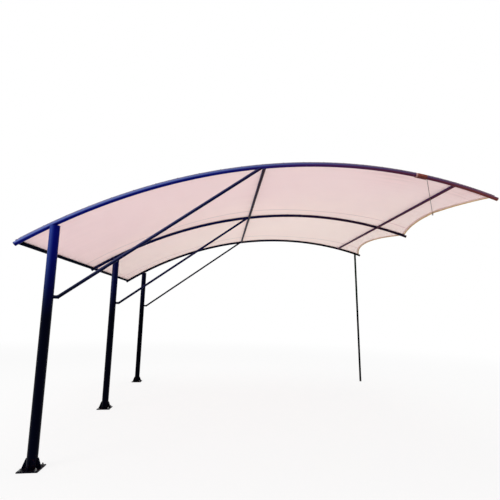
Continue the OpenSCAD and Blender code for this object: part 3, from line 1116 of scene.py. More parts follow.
@dataclass
class Canopy:
    """The stretched fabric sheet with its lapped seams and its hemmed free edge."""

    arch: Arch
    thick: float = 0.002
    lay_radius: float = 6.86485
    skirt: float = 0.012
    field_sag: float = 0.04
    edge_sag: float = 0.02
    front_dip: float = 0.19
    tie_pull: float = 0.04
    tie_at: float = 0.44
    rear_dip: float = 0.27
    seams: tuple[float, ...] = (-0.38, 1.94)
    # shadow_patches are painted shadow near the front corner; the bands along ribs, purlins and the back
    # edge are dirt with painted shade
    shadow_patches: tuple[tuple[float, ...], ...] = ((5.15, -2.35, 0.22, 0.3, 0.9), (4.15, -2.3, 0.4, 0.28, 0.55))
    rib_dirt_and_shade: tuple[float, float] = (0.5, 0.09)
    purlin_dirt_and_shade: tuple[float, float] = (0.4, 0.07)
    back_dirt_and_shade: tuple[float, float] = (0.15, 0.5)
    folds: Folds = Folds()
    lap_width: float = 0.038
    lap_up: float = 0.00027
    lap_down: float = 0.00054
    lap_edge: float = 0.0005
    rows: int = 168
    column: float = 0.031
    hem_thick: float = 0.02
    hem_tail: float = 0.03
    hem_wall: float = 0.0008
    hem_inset: float = 0.02615
    hem_step: float = 0.016
    hem_clear: float = 0.0004
    hem_turns: int = 14
    hem_slope: float = 0.012
    hem_notch: float = 0.001
    seat: float = 0.0003
    stitch_rows: tuple[float, float] = (0.014, 0.026)
    stitch_points: int = 160
    stitch_pitch: float = 0.014
    stitch_length: float = 0.010
    stitch_thick: float = 0.0022

    def across(self, y: float) -> float:
        """Share of the way across a bay, 0 and 1 at its ribs."""
        bay = self.arch.bay
        return (max(y, -bay) + bay) / bay if y < 0 else min(y, bay) / bay

    def hump(self, y: float) -> float:
        """Zero at the ribs and one midway."""
        t = self.across(y)
        return 4 * t * (1 - t)

    def scallop(self, y: float) -> float:
        """How far the free edge is drawn in at y.

        Args:
            y: Place along the row of frames.

        Returns:
            Distance back from the corners.
        """
        t = self.across(y)
        if y >= 0:
            return self.rear_dip * self.hump(y)
        drawn = t / self.tie_at if t < self.tie_at else (1 - t) / (1 - self.tie_at)
        return self.front_dip * self.hump(y) + self.tie_pull * drawn

    @property
    def tie_y(self) -> float:
        """Where the tie draws the free edge in."""
        return self.arch.bay * (self.tie_at - 1)

    def field(self, x: float) -> float:
        """Zero over the purlins and one midway between them.

        Args:
            x: Place across the shade.

        Returns:
            A share from 0 to 1.
        """
        arch = self.arch
        for low, high in ((arch.back_x, arch.mid_x), (arch.mid_x, arch.edge_x)):
            if low < x < high:
                return math.sin(math.pi * (x - low) / (high - low)) ** 2
        return 0.0

    def sag(self, x: float, y: float) -> float:
        """Drop of the fabric below its place on the ribs.

        Args:
            x: Place across the shade.
            y: Place along the row of frames.

        Returns:
            The drop in metres.
        """
        arch = self.arch
        over = max(0.0, x - arch.edge_x) / (arch.corner_x - arch.edge_x)
        drop = arch.purlin_drop + self.field_sag * self.field(x) + self.edge_sag * over ** 2
        return self.hump(y) * drop

    def edge_angle(self, y: float, out: float = 0.0) -> float:
        """Angle of the free edge at y, and a little beyond it."""
        return self.arch.angle(self.arch.corner_x - self.scallop(y)) - self.arch.step(out)

    def hem_angle(self, y: float, out: float) -> float:
        """Angle of a place beside the hem's axis at y, measured square to the free edge.

        Args:
            y: Place along the row of frames.
            out: Distance beyond the hem's axis, away from the fabric.

        Returns:
            The angle on the arch.
        """
        near = 0.001
        slope = (self.scallop(y + near) - self.scallop(y - near)) / (2 * near)
        middle = self.hem_thick / 2 + 2 * self.seat
        return self.edge_angle(y, (middle + out) * math.hypot(1.0, slope))

    def fold(self, x: float, y: float) -> float:
        """Small folds of the tensioned fabric, up from its smooth shape.

        Args:
            x: Place across the shade.
            y: Place along the row of frames.

        Returns:
            Height in metres; it fades at ribs and clamps and stays up over purlins.
        """
        arch = self.arch
        off_rib = min(abs(y - rib) for rib in arch.rows)
        sizes = self.folds
        free = smooth(off_rib, *sizes.off_rib) * smooth(x - arch.back_x, *sizes.off_back)
        scale = sizes.ripple_scale
        height = sizes.ripple * waves.noise(Vector((x * scale, y * scale, sizes.ripple_slice)))
        pulls = [(arch.corner_x, rib, sizes.corner) for rib in arch.rows]
        pulls += [(arch.back_x, rib, sizes.back_corner) for rib in (-arch.bay, arch.bay)]
        pulls.append((arch.corner_x - self.scallop(self.tie_y), self.tie_y, sizes.tie))
        for at_x, at_y, deep in pulls:
            away = math.hypot(x - at_x, y - at_y)
            if away > sizes.reach:
                continue
            turn = math.atan2(y - at_y, x - at_x)
            drift = waves.noise(Vector((at_x + sizes.wander_scale * turn, at_y, sizes.wander_slice)))
            rays = math.cos(sizes.rays * turn + sizes.wander * drift)
            height += deep * rays * math.exp(-away / sizes.fade) * smooth(away, *sizes.start)
        between = math.cos(FULL_TURN * x / sizes.screw_pitch)
        height += sizes.screw * between * math.exp(-off_rib / sizes.screw_fade)
        clear = self.field(x) + smooth(x - arch.edge_x, *sizes.off_edge)
        open_share = smooth(self.hump(y) * clear, *sizes.open_field)
        return free * (max(0.0, height) + min(0.0, height) * open_share)

    def surface(self, angle: float, y: float, lift: float) -> Vector:
        """Point of the fabric, raised by lift from its underside, folds included."""
        x = self.arch.place(angle)
        return self.arch.point(angle, self.lay_radius - self.sag(x, y) + self.fold(x, y) + lift, y)

    def lap(self, y: float) -> float:
        """One on a lapped seam, zero away from it."""
        half, edge = self.lap_width / 2, self.lap_edge
        return max(0.0, *(smooth(half - abs(y - seam), -edge, edge) for seam in self.seams))

    def columns(self) -> list[float]:
        """Places of the mesh columns along Y, close together at the seams' edges.

        Returns:
            The places in order.
        """
        half = self.arch.bay + self.skirt
        marks = {-half, half, -self.arch.bay, 0.0, self.arch.bay, self.tie_y}
        for seam in self.seams:
            for side in (-1, 1):
                for near in (-2 * self.lap_edge, 2 * self.lap_edge):
                    marks.add(seam + side * (self.lap_width / 2 + near))
        ordered = sorted(marks)
        places = []
        for low, high in zip(ordered, ordered[1:]):
            count = max(1, math.ceil((high - low) / self.column))
            places += spaced(low, high, count)[:-1]
        return places + [half]

    @property
    def back_angle(self) -> float:
        """Angle of the fabric's back edge."""
        return self.arch.angle(self.arch.back_x) + self.arch.step(self.skirt)

    def run_length(self, y: float) -> float:
        """Length of the fabric along the arch at y."""
        return (self.back_angle - self.edge_angle(y)) * self.lay_radius

    def shade_and_grime(self, x: float, y: float) -> float:
        """Dirt with painted shade along ribs, purlins and the back edge, and painted shadow in patches (x,
        y, width, depth, strength).

        Args:
            x: Place across the shade.
            y: Place along the row of frames.

        Returns:
            A share from 0 to 1.
        """
        arch = self.arch
        off_rib = min(abs(y - rib) for rib in arch.rows)
        off_purlin = min(abs(x - at) for at in (arch.mid_x, arch.edge_x))
        off_back = max(0.0, x - arch.back_x)
        # Painted shadow in the patches, then dirt with painted shade along ribs, purlins and the back edge
        dirt_and_shade = sum(dark * math.exp(-((x - at_x) / wide) ** 2 - ((y - at_y) / deep) ** 2)
                   for at_x, at_y, wide, deep, dark in self.shadow_patches)
        for off, (share, fade) in zip((off_rib, off_purlin, off_back),
                                      (self.rib_dirt_and_shade, self.purlin_dirt_and_shade, self.back_dirt_and_shade)):
            dirt_and_shade += share * math.exp(-off / fade)
        return min(1.0, dirt_and_shade)

    def build_sheet(self, finish: Material) -> Piece:
        """Make the closed fabric sheet with its UV map in metres.

        Args:
            finish: The fabric.

        Returns:
            The sheet.
        """
        pen = Pen()
        back = self.back_angle
        places = self.columns()
        laps: list[float] = []
        dirt_and_shade: list[float] = []
        sides = []
        for upper in (True, False):
            grid = []
            for y in places:
                lap = self.lap(y)
                lift = self.thick + self.lap_up * lap if upper else -self.lap_down * lap
                strip = []
                for angle in spaced(back, self.edge_angle(y), self.rows):
                    run = (back - angle) * self.lay_radius
                    strip.append(pen.add(self.surface(angle, y, lift), (y, run)))
                    laps.append(lap)
                    dirt_and_shade.append(self.shade_and_grime(self.arch.place(angle), y))
                grid.append(strip)
            sides.append(grid)
        top, low = sides
        last = len(places) - 1
        for c in range(last):
            for r in range(self.rows):
                pen.faces.append((top[c][r], top[c][r + 1], top[c + 1][r + 1], top[c + 1][r]))
                pen.faces.append((low[c][r], low[c + 1][r], low[c + 1][r + 1], low[c][r + 1]))
            pen.faces.append((top[c][0], top[c + 1][0], low[c + 1][0], low[c][0]))
            end = self.rows
            pen.faces.append((top[c + 1][end], top[c][end], low[c][end], low[c + 1][end]))
        for r in range(self.rows):
            pen.faces.append((top[0][r + 1], top[0][r], low[0][r], low[0][r + 1]))
            pen.faces.append((top[last][r], top[last][r + 1], low[last][r + 1], low[last][r]))
        sheet = pen.make("fabric_sheet", finish)
        for name, values in (("lap", laps), ("shade_and_grime", dirt_and_shade)):
            sheet.data.attributes.new(name, "FLOAT", "POINT").data.foreach_set("value", values)
        return sheet

    def hem_profile(self) -> list[tuple[float, float]]:
        """Outline of the rope-filled hem: outward from the fabric's edge, and up from its middle.

        Returns:
            Points of the closed outline.
        """
        radius = self.hem_thick / 2
        inner = self.thick / 2 + self.hem_clear
        outer = inner + self.hem_wall
        start = math.asin(outer / radius)
        turns = spaced(start - math.pi, math.pi - start, self.hem_turns)
        ring = [(radius * math.cos(turn), radius * math.sin(turn)) for turn in turns]
        lip = -radius - self.hem_tail
        slope = -radius - self.hem_slope
        notch = -radius - self.hem_notch
        upper = [(slope, outer), (lip, outer), (lip, inner), (notch, inner)]
        lower = [(out, -up) for out, up in reversed(upper)]
        return ring + upper + lower

    def build_hem(self, name: str, low: float, high: float, finish: Material) -> Piece:
        """Make the hem of one bay.

        Args:
            name: Name of the piece.
            low: Where it starts along Y.
            high: Where it ends.
            finish: The webbing.

        Returns:
            The hem.
        """
        profile = self.hem_profile()
        girth = [0.0]
        for a, b in zip(profile, profile[1:]):
            girth.append(girth[-1] + math.dist(a, b))
        count = math.ceil((high - low) / self.hem_step)
        rings = [[self.surface(self.hem_angle(y, out), y, self.thick / 2 + up) for out, up in profile]
                 for y in spaced(low, high, count)]
        pen = Pen()
        pen.loft(rings, False, lambda i, j: (i * self.hem_step, girth[j]))
        return pen.make(name, finish)

    def stitch_lines(self, low: float, high: float) -> list[list[Vector]]:
        """Two rows of stitching on each face of a hem's tail.

        Args:
            low: Where the hem starts along Y.
            high: Where it ends.

        Returns:
            One line of points for each row.
        """
        face = self.thick / 2 + self.hem_clear + self.hem_wall
        places = spaced(low, high, self.stitch_points)
        return [[self.surface(self.edge_angle(y, -inward), y, self.thick / 2 + up) for y in places]
                for inward in self.stitch_rows for up in (face, -face)]

    def build(self, fabric: Material, webbing: Material, thread: Material) -> None:
        """Args:
            fabric: Finish of the sheet.
            webbing: Finish of the hems.
            thread: Finish of the stitches.
        """
        arch = self.arch
        sheet = settle(self.build_sheet(fabric), ["membrane"])
        stitches = stitch_tree()
        runs = (("front", -arch.bay + self.hem_inset, -self.hem_inset),
                ("rear", self.hem_inset, arch.bay - self.hem_inset))
        for bay, low, high in runs:
            hem = self.build_hem(bay + "_hem_sleeve", low, high, webbing)
            settle(hem, [bay + "_edge_hem"])
            sewn = stitches.run(bay + "_hem_stitches", self.stitch_lines(low, high), thread,
                                Pitch=self.stitch_pitch, Length=self.stitch_length, Thread=self.stitch_thick,
                                Centre=arch.centre)
            settle(sewn)
        rests = [name + "_rib" for name in FRAME_NAMES]
        rests += [f"{line}_purlin_{bay}" for line in ("back", "mid", "edge") for bay in BAY_NAMES]
        places = self.columns()
        runs = [self.run_length(y) for y in places]


@dataclass
class EdgeTie:
    """Rope lashed on the front rib, drawn under the edge purlin to a knot on the free edge."""

    arch: Arch
    canopy: Canopy
    thick: float = 0.008
    lay: float = 0.03
    leave_x: float = 4.44
    turns: int = 20
    pale_turns: int = 3
    turn_pitch: float = 0.00768
    route_step: float = 0.055
    rope_step: float = 0.004
    knot_thick: float = 0.026
    knot_points: int = 96
    knot_tight: float = 0.39
    knot_depth: float = 1.4
    knot_inset: float = 0.9
    knot_rope: float = 0.95
    end_share: float = 0.3
    loop_points: int = 48
    loop_turn: float = 140.0
    gap: float = 0.002
    lash_gap: float = 0.0006
    lash_points: int = 46
    lash_from: float = 212.0
    lash_to: float = 490.0
    lash_swell: float = 1.02
    lash_vary: float = 0.05
    lash_rhythm: float = 2.4

    def hem_axis(self) -> Vector:
        """Middle of the hem's rope where the tie holds it."""
        canopy = self.canopy
        return canopy.surface(canopy.hem_angle(canopy.tie_y, 0.0), canopy.tie_y, canopy.thick / 2)

    def knot_centre(self) -> Vector:
        """Middle of the knot below the hem."""
        drop = self.canopy.hem_thick / 2 + self.thick + self.knot_thick / 2 - self.canopy.seat
        return self.hem_axis() - Vector((0.0, 0.0, drop))

    def cord_path(self) -> list[Vector]:
        """Route of the tie: off the rib, under the edge purlin, to the knot.

        Returns:
            Start, bend and end of the cord.
        """
        arch = self.arch
        rib_z = arch.point(arch.angle(self.leave_x), arch.rib_radius, 0.0).z
        start = Vector((self.leave_x, -arch.bay, rib_z - arch.rib_thick / 2 - self.thick / 2 - self.gap))
        knot = self.knot_centre()
        share = (arch.edge_x - start.x) / (knot.x - start.x)
        under = arch.point(arch.angle(arch.edge_x), arch.purlin_radius, 0.0)
        low = under.z - arch.purlin_thick / 2 - self.thick / 2 - self.canopy.seat
        bend = Vector((under.x, start.y + (knot.y - start.y) * share, low))
        end = knot - (knot - bend).normalized() * self.knot_thick * self.end_share
        return [start, bend, end]

    def lash_ring(self, angle: float) -> list[Vector]:
        """Points of one turn round the front rib; 0 is below, a quarter turn is the inner side.

        Args:
            angle: Place of the turn on the arch.

        Returns:
            The points in order.
        """
        arch = self.arch
        centre = arch.point(angle, arch.rib_radius, -arch.bay)
        reach = arch.rib_thick / 2 + self.thick / 2 + self.lash_gap
        below = -arch.out(angle)
        inner = Vector((0.0, 1.0, 0.0))
        turns = spaced(math.radians(self.lash_from), math.radians(self.lash_to), self.lash_points)
        return [round_spot(centre, reach, turn, below, inner) for turn in turns]

    def build_lashing(self, name: str, numbers: Iterable[int], finish: Material) -> Piece:
        """Wind some of the turns side by side on the rib.

        Args:
            name: Name of the piece.
            numbers: Which turns, from 0 at the tie.
            finish: The rope.

        Returns:
            The wound rope.
        """
        arch = self.arch
        pen = Pen()
        length = self.turns * self.turn_pitch
        middle = arch.angle(self.leave_x) + arch.step(length / 2 + self.thick)
        for i in numbers:
            angle = middle + arch.step((i - (self.turns - 1) / 2) * self.turn_pitch)
            lay = self.lay * (1 + self.lash_vary * math.sin(i * self.lash_rhythm))
            pen.loft(rope_rings(self.lash_ring(angle), self.thick * self.lash_swell, lay))
        return pen.make(name, finish)

    def build_cord(self, finish: Material) -> Piece:
        """Lay the tie cord on its route.

        Args:
            finish: The rope.

        Returns:
            The cord.
        """
        pen = Pen()
        pen.loft(rope_rings(resample(self.cord_path(), self.rope_step), self.thick, self.lay))
        return pen.make("edge_tie_rope", finish)

    def build_knot(self, finish: Material) -> Piece:
        """Tie the knot below the hem, with its loop over the hem.

        Args:
            finish: The rope.

        Returns:
            The knot.
        """
        pen = Pen()
        centre = self.knot_centre()
        size = self.knot_thick / 2 - self.thick / 2 * self.knot_inset
        path = []
        for t in spaced(0.0, FULL_TURN, self.knot_points)[:-1]:
            path.append(centre + size * self.knot_tight * Vector((
                math.sin(t) + 2 * math.sin(2 * t),
                math.cos(t) - 2 * math.cos(2 * t),
                -self.knot_depth * math.sin(3 * t))))
        pen.loft(rope_rings(path, self.thick * self.knot_rope, self.lay), True)
        hem = self.hem_axis()
        reach = self.canopy.hem_thick / 2 + self.thick / 2
        angle = self.canopy.edge_angle(self.canopy.tie_y)
        away = self.arch.down_slope(angle)
        up = self.arch.out(angle)
        half = math.radians(self.loop_turn)
        loop = [round_spot(hem, reach, turn, away, up) for turn in spaced(-half, half, self.loop_points)]
        pen.loft(rope_rings(loop, self.thick, self.lay))
        return pen.make("edge_tie_knot", finish)

    def build(self, lash: Material, pale: Material, rope: Material) -> None:
        """Make the lashing, the tie and its knot.

        Args:
            lash: Rope of the lashing.
            pale: Rope of its last turns.
            rope: Rope of the tie.
        """
        dark = self.turns - self.pale_turns
        settle(self.build_lashing("rib_lashing_turns", range(dark), lash), ["rib_lashing"])
        settle(self.build_lashing("rib_lashing_end", range(dark, self.turns), pale))
        cord = settle(self.build_cord(rope), ["edge_tie_cord"])
        knot = settle(self.build_knot(rope), ["tie_knot"])
        route = resample(self.cord_path(), self.route_step)


@dataclass
class Frames:
    """The three pipe frames and the purlins: their paint, the bolts at the feet and the welds."""

    arch: Arch
    post_thick: float = 0.1016
    plate_thick: float = 0.012
    hole_pitch: float = 0.15
    gusset_height: float = 0.1
    gusset_width: float = 0.042
    gusset_thick: float = 0.008
    strut_thick: float = 0.038
    lug_x: float = 0.097
    lug_z: float = 1.762
    strut_top_x: float = 2.285
    cap_top: float = 2.546
    bead: float = 0.0036
    purlin_bead: float = 0.00324
    bead_pitch: float = 0.0046
    weld_seeds: tuple[int, ...] = (11, 12, 13, 17)
    ring_points: int = 40
    foot_points: int = 48
    seek_steps: int = 40
    seek_purlin: float = 0.2
    seek_strut: float = 0.3
    seek_short: float = 0.001
    fabric_side: float = 0.012
    post_run: tuple[float, float] = (0.02, 0.98)
    plate_run: tuple[float, float] = (0.02, 0.96)
    head_half: float = 0.046
    head_steps: int = 12
    nut_width: float = 0.019
    nut_height: float = 0.0104
    stud_thick: float = 0.012
    stud_length: float = 0.022
    washer_thick: float = 0.0025
    bolt_seed: int = 5

    def paint(self, materials: dict[str, Material], special: dict[str, Material]) -> None:
        """Give every CAD node that stays its finish.

        Args:
            materials: Finishes by slot name.
            special: Finishes of nodes that differ, by the start of their names.
        """
        for name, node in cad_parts.items():
            slot = node.data.materials[0].name if node.data.materials else "frame_paint"
            slot = slot.split(".")[0]
            start = next((key for key in special if slot == "frame_paint" and name.startswith(key)), None)
            finish = special[start] if start else materials.get(slot)
            if finish is not None:
                node.material_slots[0].material = finish
                LOG.info("%s painted with %s", name, finish.name)

    def ring(self, spot: Vector, axis: Vector, radius: float, rib_y: float, towards: float) -> list[Vector]:
        """Line where a pipe meets a rib.

        Args:
            spot: A point on the pipe's axis, clear of the rib.
            axis: Unit direction of the pipe towards the rib.
            radius: Outer radius of the pipe.
            rib_y: Plane of the rib.
            towards: Distance along the axis at which the search ends, inside the rib.

        Returns:
            A closed ring of points on both surfaces.
        """
        side = axis.orthogonal().normalized()
        other = axis.cross(side)
        skin = self.arch.rib_thick / 2
        line = []
        for turn in spaced(0.0, FULL_TURN, self.ring_points):
            foot = round_spot(spot, radius, turn, side, other)
            low, high = 0.0, towards
            for _ in range(self.seek_steps):
                half = (low + high) / 2
                if self.arch.from_rib(foot + axis * half, rib_y) > skin:
                    low = half
                else:
                    high = half
            line.append(foot + axis * low)
        return line

    def foot_welds(self, y: float) -> list[list[Vector]]:
        """Weld lines at one foot: round the post and along the gussets.

        Args:
            y: Plane of the frame.

        Returns:
            The lines.
        """
        radius = self.post_thick / 2
        middle = Vector((0.0, y, self.plate_thick))
        ahead, left, up = Vector((1.0, 0.0, 0.0)), Vector((0.0, 1.0, 0.0)), Vector((0.0, 0.0, 1.0))
        lines = [[round_spot(middle, radius, turn, ahead, left)
                  for turn in spaced(0.0, FULL_TURN, self.foot_points)]]
        face = math.sqrt(radius ** 2 - (self.gusset_thick / 2) ** 2)
        for out in (ahead, left, -ahead, -left):
            for hand in (-1, 1):
                edge = middle + out * face + up.cross(out) * hand * self.gusset_thick / 2
                lines.append([edge + up * self.gusset_height * share for share in self.post_run])
                lines.append([edge + out * self.gusset_width * share for share in self.plate_run])
        return lines

    def lug_welds(self, y: float) -> list[list[Vector]]:
        """Weld rings of one strut's stub: on the post, and round the mitre to the strut.

        Args:
            y: Plane of the frame.

        Returns:
            The two rings.
        """
        post = self.post_thick / 2
        pipe = self.strut_thick / 2
        rise = self.strut_axis()
        lean = math.tan(math.atan2(rise.z, rise.x) / 2)
        at_post = []
        at_mitre = []
        for turn in spaced(0.0, FULL_TURN, self.ring_points):
            side, up = pipe * math.cos(turn), pipe * math.sin(turn)
            at_post.append(Vector((math.sqrt(post ** 2 - side ** 2), y + side, self.lug_z + up)))
            at_mitre.append(Vector((self.lug_x - up * lean, y + side, self.lug_z + up)))
        return [at_post, at_mitre]

    def strut_axis(self) -> Vector:
        """Direction of a strut from its lug up to the rib."""
        head = self.arch.point(self.arch.angle(self.strut_top_x), self.arch.rib_radius, 0.0)
        return (head - Vector((self.lug_x, 0.0, self.lug_z))).normalized()

    def head_welds(self, y: float) -> list[list[Vector]]:
        """Weld lines on both sides of a rib in its post head.

        Args:
            y: Plane of the frame.

        Returns:
            The lines.
        """
        arch = self.arch
        lines = []
        for hand in (-1, 1):
            line = []
            for x in spaced(-self.head_half, self.head_half, self.head_steps):
                drop = arch.point(arch.angle(x), arch.rib_radius, 0.0).z - self.cap_top
                off = (arch.rib_thick / 2) ** 2 - (drop * math.cos(arch.angle(x) - math.pi / 2)) ** 2
                if off > 0:
                    line.append(Vector((x, y + hand * math.sqrt(off), self.cap_top)))
            if len(line) > 1:
                lines.append(line)
        return lines

    def purlin_welds(self) -> list[list[Vector]]:
        """Weld rings at both ends of every purlin, short of the fabric.

        Returns:
            The open rings.
        """
        arch = self.arch
        lines = []
        for x in (arch.back_x, arch.mid_x, arch.edge_x):
            angle = arch.angle(x)
            for y, hand in ((-arch.bay, 1), (0.0, -1), (0.0, 1), (arch.bay, -1)):
                start = arch.point(angle, arch.purlin_radius, y + hand * self.seek_purlin)
                loop = self.ring(start, Vector((0.0, -hand, 0.0)), arch.purlin_thick / 2, y,
                                 self.seek_purlin - self.seek_short)
                centre = arch.point(angle, arch.purlin_radius, y)
                under = [p for p in loop[:-1] if (p - centre).dot(arch.out(angle)) < self.fabric_side]
                first = next((i for i, p in enumerate(loop[:-1]) if p not in under), 0)
                turned = loop[first:-1] + loop[:first]
                lines.append([p for p in turned if p in under])
        return lines

    def strut_welds(self, y: float) -> list[list[Vector]]:
        """Weld ring where one strut meets its rib.

        Args:
            y: Plane of the frame.

        Returns:
            The ring, in a list.
        """
        axis = self.strut_axis()
        head = self.arch.point(self.arch.angle(self.strut_top_x), self.arch.rib_radius, y)
        return [self.ring(head - axis * self.seek_strut, axis, self.strut_thick / 2, y,
                          self.seek_strut - self.seek_short)]

    def build(self, paints: Sequence[Material], zinc: Material) -> None:
        """Make the welds and the anchor bolts.

        Args:
            paints: Paint over the welds of the front, middle and rear frame.
            zinc: Finish of the bolts.
        """
        jobs = []
        for name, y, enamel in zip(FRAME_NAMES, self.arch.rows, paints):
            lines = self.foot_welds(y) + self.lug_welds(y) + self.head_welds(y) + self.strut_welds(y)
            jobs.append((name + "_frame_welds", lines, enamel, self.bead))
        jobs.append(("purlin_welds", self.purlin_welds(), paints[1], self.purlin_bead))
        welds = weld_tree()
        for (name, lines, enamel, bead), seed in zip(jobs, self.weld_seeds):
            made = welds.run(name, lines, enamel, True, Pitch=self.bead_pitch, Bead=bead, Seed=seed)
            settle(made)
        half = self.hole_pitch / 2
        spots = [[Vector((x, y + across, self.plate_thick))]
                 for y in self.arch.rows for x in (-half, half) for across in (-half, half)]
        bolts = anchor_tree().run("anchor_bolts", spots, zinc, Nut_Width=self.nut_width,
                                  Nut_Height=self.nut_height, Stud_Thick=self.stud_thick,
                                  Stud_Length=self.stud_length, Washer_Thick=self.washer_thick,
                                  Seed=self.bolt_seed)
        settle(bolts)


@dataclass
class ClampBars:
    """Screws of the clamp bars over the outer ribs and the back purlin, and of the middle corner's plate."""

    arch: Arch
    bar_radius: float = 6.86715
    bar_thick: float = 0.003
    pitch: float = 0.25
    back_end: float = 0.125
    plate_screws: tuple[float, float] = (0.03, 0.09)
    end_inset: float = 0.05
    line_steps: int = 120
    head_width: float = 0.010
    head_height: float = 0.005
    washer_thick: float = 0.0012

    def lines(self) -> list[list[Vector]]:
        """Lines on the bars' tops that the screws follow.

        Returns:
            One line of points for each bar.
        """
        arch = self.arch
        top = self.bar_radius + self.bar_thick
        first = arch.angle(arch.back_x) - arch.step(self.end_inset)
        last = arch.angle(arch.corner_x) + arch.step(self.end_inset)
        turns = spaced(first, last, self.line_steps)
        rows = [[arch.point(turn, top, y) for turn in turns] for y in (-arch.bay, arch.bay)]
        across = arch.bay - self.back_end
        rows.append([arch.point(arch.angle(arch.back_x), top, y) for y in (-across, 0.0, across)])
        return rows

    def plate_line(self) -> list[Vector]:
        """Line on the corner plate's top between its two screws.

        Returns:
            Its two ends.
        """
        arch = self.arch
        top = self.bar_radius + self.bar_thick
        return [arch.point(arch.angle(arch.corner_x) + arch.step(at), top, 0.0) for at in self.plate_screws]

    def build(self, zinc: Material) -> None:
        """Set the screws along the bars and on the corner plate.

        Args:
            zinc: Finish of the screws.
        """
        near, far = self.plate_screws
        for name, lines, pitch in (("clamp_bar_screws", self.lines(), self.pitch),
                                   ("corner_plate_screws", [self.plate_line()], far - near)):
            made = bar_screw_tree().run(name, lines, zinc, Pitch=pitch, Head_Width=self.head_width,
                                        Head_Height=self.head_height, Washer_Thick=self.washer_thick,
                                        Centre=self.arch.centre)
            settle(made)


@dataclass(frozen=True)
class Lamp:
    """One soft square lamp: where it hangs and points, its side and its power in watts."""

    name: str
    place: tuple[float, float, float]
    aim: tuple[float, float, float]
    side: float
    power: float

    def hang(self) -> None:
        """Hang the lamp, out of the camera's sight."""
        data = bpy.data.lights.new(self.name, "AREA")
        data.size = self.side
        data.energy = self.power
        made = put_in_scene(self.name, data)
        made.visible_camera = False
        made.location = self.place
        made.rotation_euler = (Vector(self.aim) - Vector(self.place)).to_track_quat("-Z", "Y").to_euler()


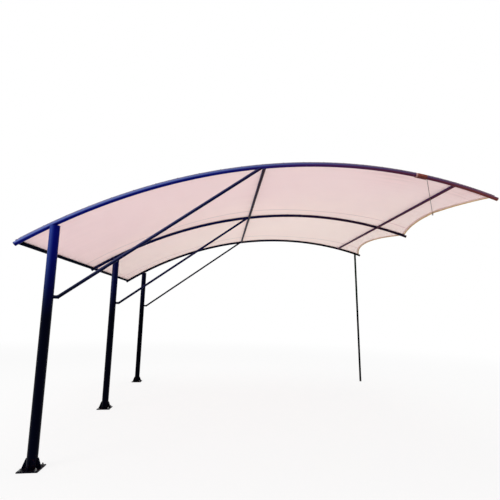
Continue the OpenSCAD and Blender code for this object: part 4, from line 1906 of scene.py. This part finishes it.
@dataclass
class Studio:
    """Camera at the photo's angle, pale floor and soft light."""

    image: float = 500.0
    focal: float = 375.295
    middle: tuple[float, float] = (275.879, 268.095)
    eye: tuple[float, float, float] = (1.8356, -6.8796, 1.6323)
    yaw: float = 0.14538
    pitch: float = 0.12262
    roll: float = 0.02428
    sensor: float = 36.0
    view_end: float = 400.0
    sky: float = 0.62
    floor_half: float = 60.0
    floor_z: float = -0.0004
    floor_white: float = 0.85
    floor_fade: tuple[float, float] = (6.0, 18.0)
    lamps: tuple[Lamp, ...] = (
        Lamp("top_lamp", (2.5, 1.2, 9.0), (2.5, 0.6, 2.5), 7.0, 250.0),
        Lamp("side_lamp", (-6.0, -7.0, 4.5), (1.0, -1.0, 1.4), 4.0, 260.0),
    )

    def camera(self) -> None:
        """Set up the scene's camera."""
        data = bpy.data.cameras.new("photo_camera")
        data.sensor_width = self.sensor
        data.sensor_fit = "HORIZONTAL"
        data.lens = self.focal * self.sensor / self.image
        data.shift_x = (self.image / 2 - self.middle[0]) / self.image
        data.shift_y = (self.middle[1] - self.image / 2) / self.image
        data.clip_end = self.view_end
        ahead = Vector((math.sin(self.yaw) * math.cos(self.pitch), math.cos(self.yaw) * math.cos(self.pitch),
                        math.sin(self.pitch)))
        right = Vector((math.cos(self.yaw), -math.sin(self.yaw), 0.0))
        up = right.cross(ahead)
        leaned = math.cos(self.roll) * right + math.sin(self.roll) * up
        raised = -math.sin(self.roll) * right + math.cos(self.roll) * up
        turn = Matrix((leaned, raised, -ahead)).transposed()
        made = put_in_scene("photo_camera", data)
        made.matrix_world = Matrix.Translation(self.eye) @ turn.to_4x4()
        bpy.context.scene.camera = made

    def world(self) -> None:
        """Even soft light from all round, white where it is seen."""
        world = bpy.data.worlds.new("studio_world")
        bpy.context.scene.world = world
        world.use_nodes = True
        sky = NodeWork(world.node_tree)
        back = world.node_tree.nodes["Background"].inputs
        sky.feed(back["Strength"], sky.span(sky.seen(), 0.0, 1.0, self.sky, 1.0))
        back["Color"].default_value = (1.0, 1.0, 1.0, 1.0)

    def floor(self) -> None:
        """Lay the pale floor, which fades to white where it is seen from afar and keeps the shadow near."""
        mesh = bpy.data.meshes.new("studio_floor")
        half = self.floor_half
        corners = ((-half, -half), (half, -half), (half, half), (-half, half))
        mesh.from_pydata([(x, y, self.floor_z) for x, y in corners], [], [(0, 1, 2, 3)])
        paper = Shader("studio_paper", Roughness=0.9, Specular_IOR_Level=0.0)
        spot = paper.place(Coords.OBJECT)
        tint = paper.mix(paper.noise(spot, 2.0), "#f7f6f5", "#fbfafa")
        paper.dress(Base_Color=tint)
        away = paper.node("ShaderNodeVectorMath", operation="LENGTH")
        paper.feed(away.inputs[0], spot)
        white = paper.span(away.outputs["Value"], *self.floor_fade, self.floor_white, 1.0)
        glow = paper.node("ShaderNodeEmission")
        blend = paper.node("ShaderNodeMixShader")
        paper.feed(blend.inputs[0], paper.calc("MULTIPLY", paper.seen(), white))
        paper.feed(blend.inputs[1], paper.surface.outputs[0])
        paper.feed(blend.inputs[2], glow.outputs[0])
        paper.feed(paper.tree.nodes["Material Output"].inputs["Surface"], blend.outputs[0])
        mesh.materials.append(paper.material)
        put_in_scene("studio_floor", mesh)

    def build(self) -> None:
        """Set the view, the floor and the lights."""
        bpy.context.scene.view_settings.view_transform = "Standard"
        self.world()
        self.floor()
        for lamp in self.lamps:
            lamp.hang()


def main() -> None:
    """Build the scene piece by piece."""
    logging.basicConfig(level=logging.INFO, format="%(name)s %(message)s")
    studio = Studio()
    studio.camera()
    arch = Arch()
    canopy = Canopy(arch)
    tie = EdgeTie(arch, canopy)
    tie.build(Rope("lashing_rope", "#8a3f34", "#a8584a", "#45181c").make(),
              Rope("pale_rope", "#c99a94", "#dcb4ae", "#8a5a5a").make(),
              Rope("tie_rope", "#6d564c", "#8d7a6e", "#4a3a34").make())
    enamel = Enamel("navy_enamel").make()
    # Darker copies of the navy enamel for the middle and rear frames: painted shade
    middle = Enamel("middle_shaded_enamel", navy="#02053a", paler="#050940", highlight_tint="#2a3060", plum="#2a1322",
                    russet="#1c0d16").make()
    rear = Enamel("rear_shaded_enamel", navy="#01031c", paler="#03051f", highlight_tint="#161a34", plum="#120d14",
                  russet="#0c0a0c", gloss=0.02).make()
    zinc = Zinc().make()
    webbing = Webbing().make()
    frames = Frames(arch)
    frames.paint({
        "frame_paint": enamel,
        "prop_paint": Enamel("prop_enamel", plum="#062008", russet="#062008", highlight_tint="#0c2a10",
                             gloss=0.0).make(),
        "plug_plastic": Plastic().make(),
    }, {
        # The front rib's clamp bars get a lighter enamel as a painted highlight along the rib's top, and the
        # front rib gets a brighter painted highlight
        "front_rib_clamp": Enamel("bar_highlight_enamel", navy="#4a529c", paler="#565eaa", plum="#6a3a48").make(),
        "front_rib": Enamel("rib_highlight_enamel", highlight_tint="#7484c8").make(),
        "front_strut": Enamel("strut_enamel", navy="#050934", paler="#0b0f3c", highlight_tint="#4a5078").make(),
        "middle_": middle,
        "rear_": rear,
        # Near black copy of the enamel on the back purlins: painted shade under the fabric
        "back_purlin": Enamel("back_shaded_enamel", navy="#0a0f1c", paler="#0f1524", highlight_tint="#2a3240",
                              gloss=0.0).make(),
        "mid_purlin": Enamel("mid_enamel", navy="#1c1926", paler="#241f2c", gloss=0.01).make(),
        "edge_purlin": Enamel("edge_enamel", plum="#3a1a28", gloss=0.01).make(),
    })
    canopy.build(CoatedFabric().make(), webbing, Rope("hem_thread", "#d8c2b6", "#e4d2c8", "#c0a99c").make())
    frames.build((enamel, middle, rear), zinc)
    ClampBars(arch).build(zinc)
    studio.build()


if __name__ == "__main__":
    main()
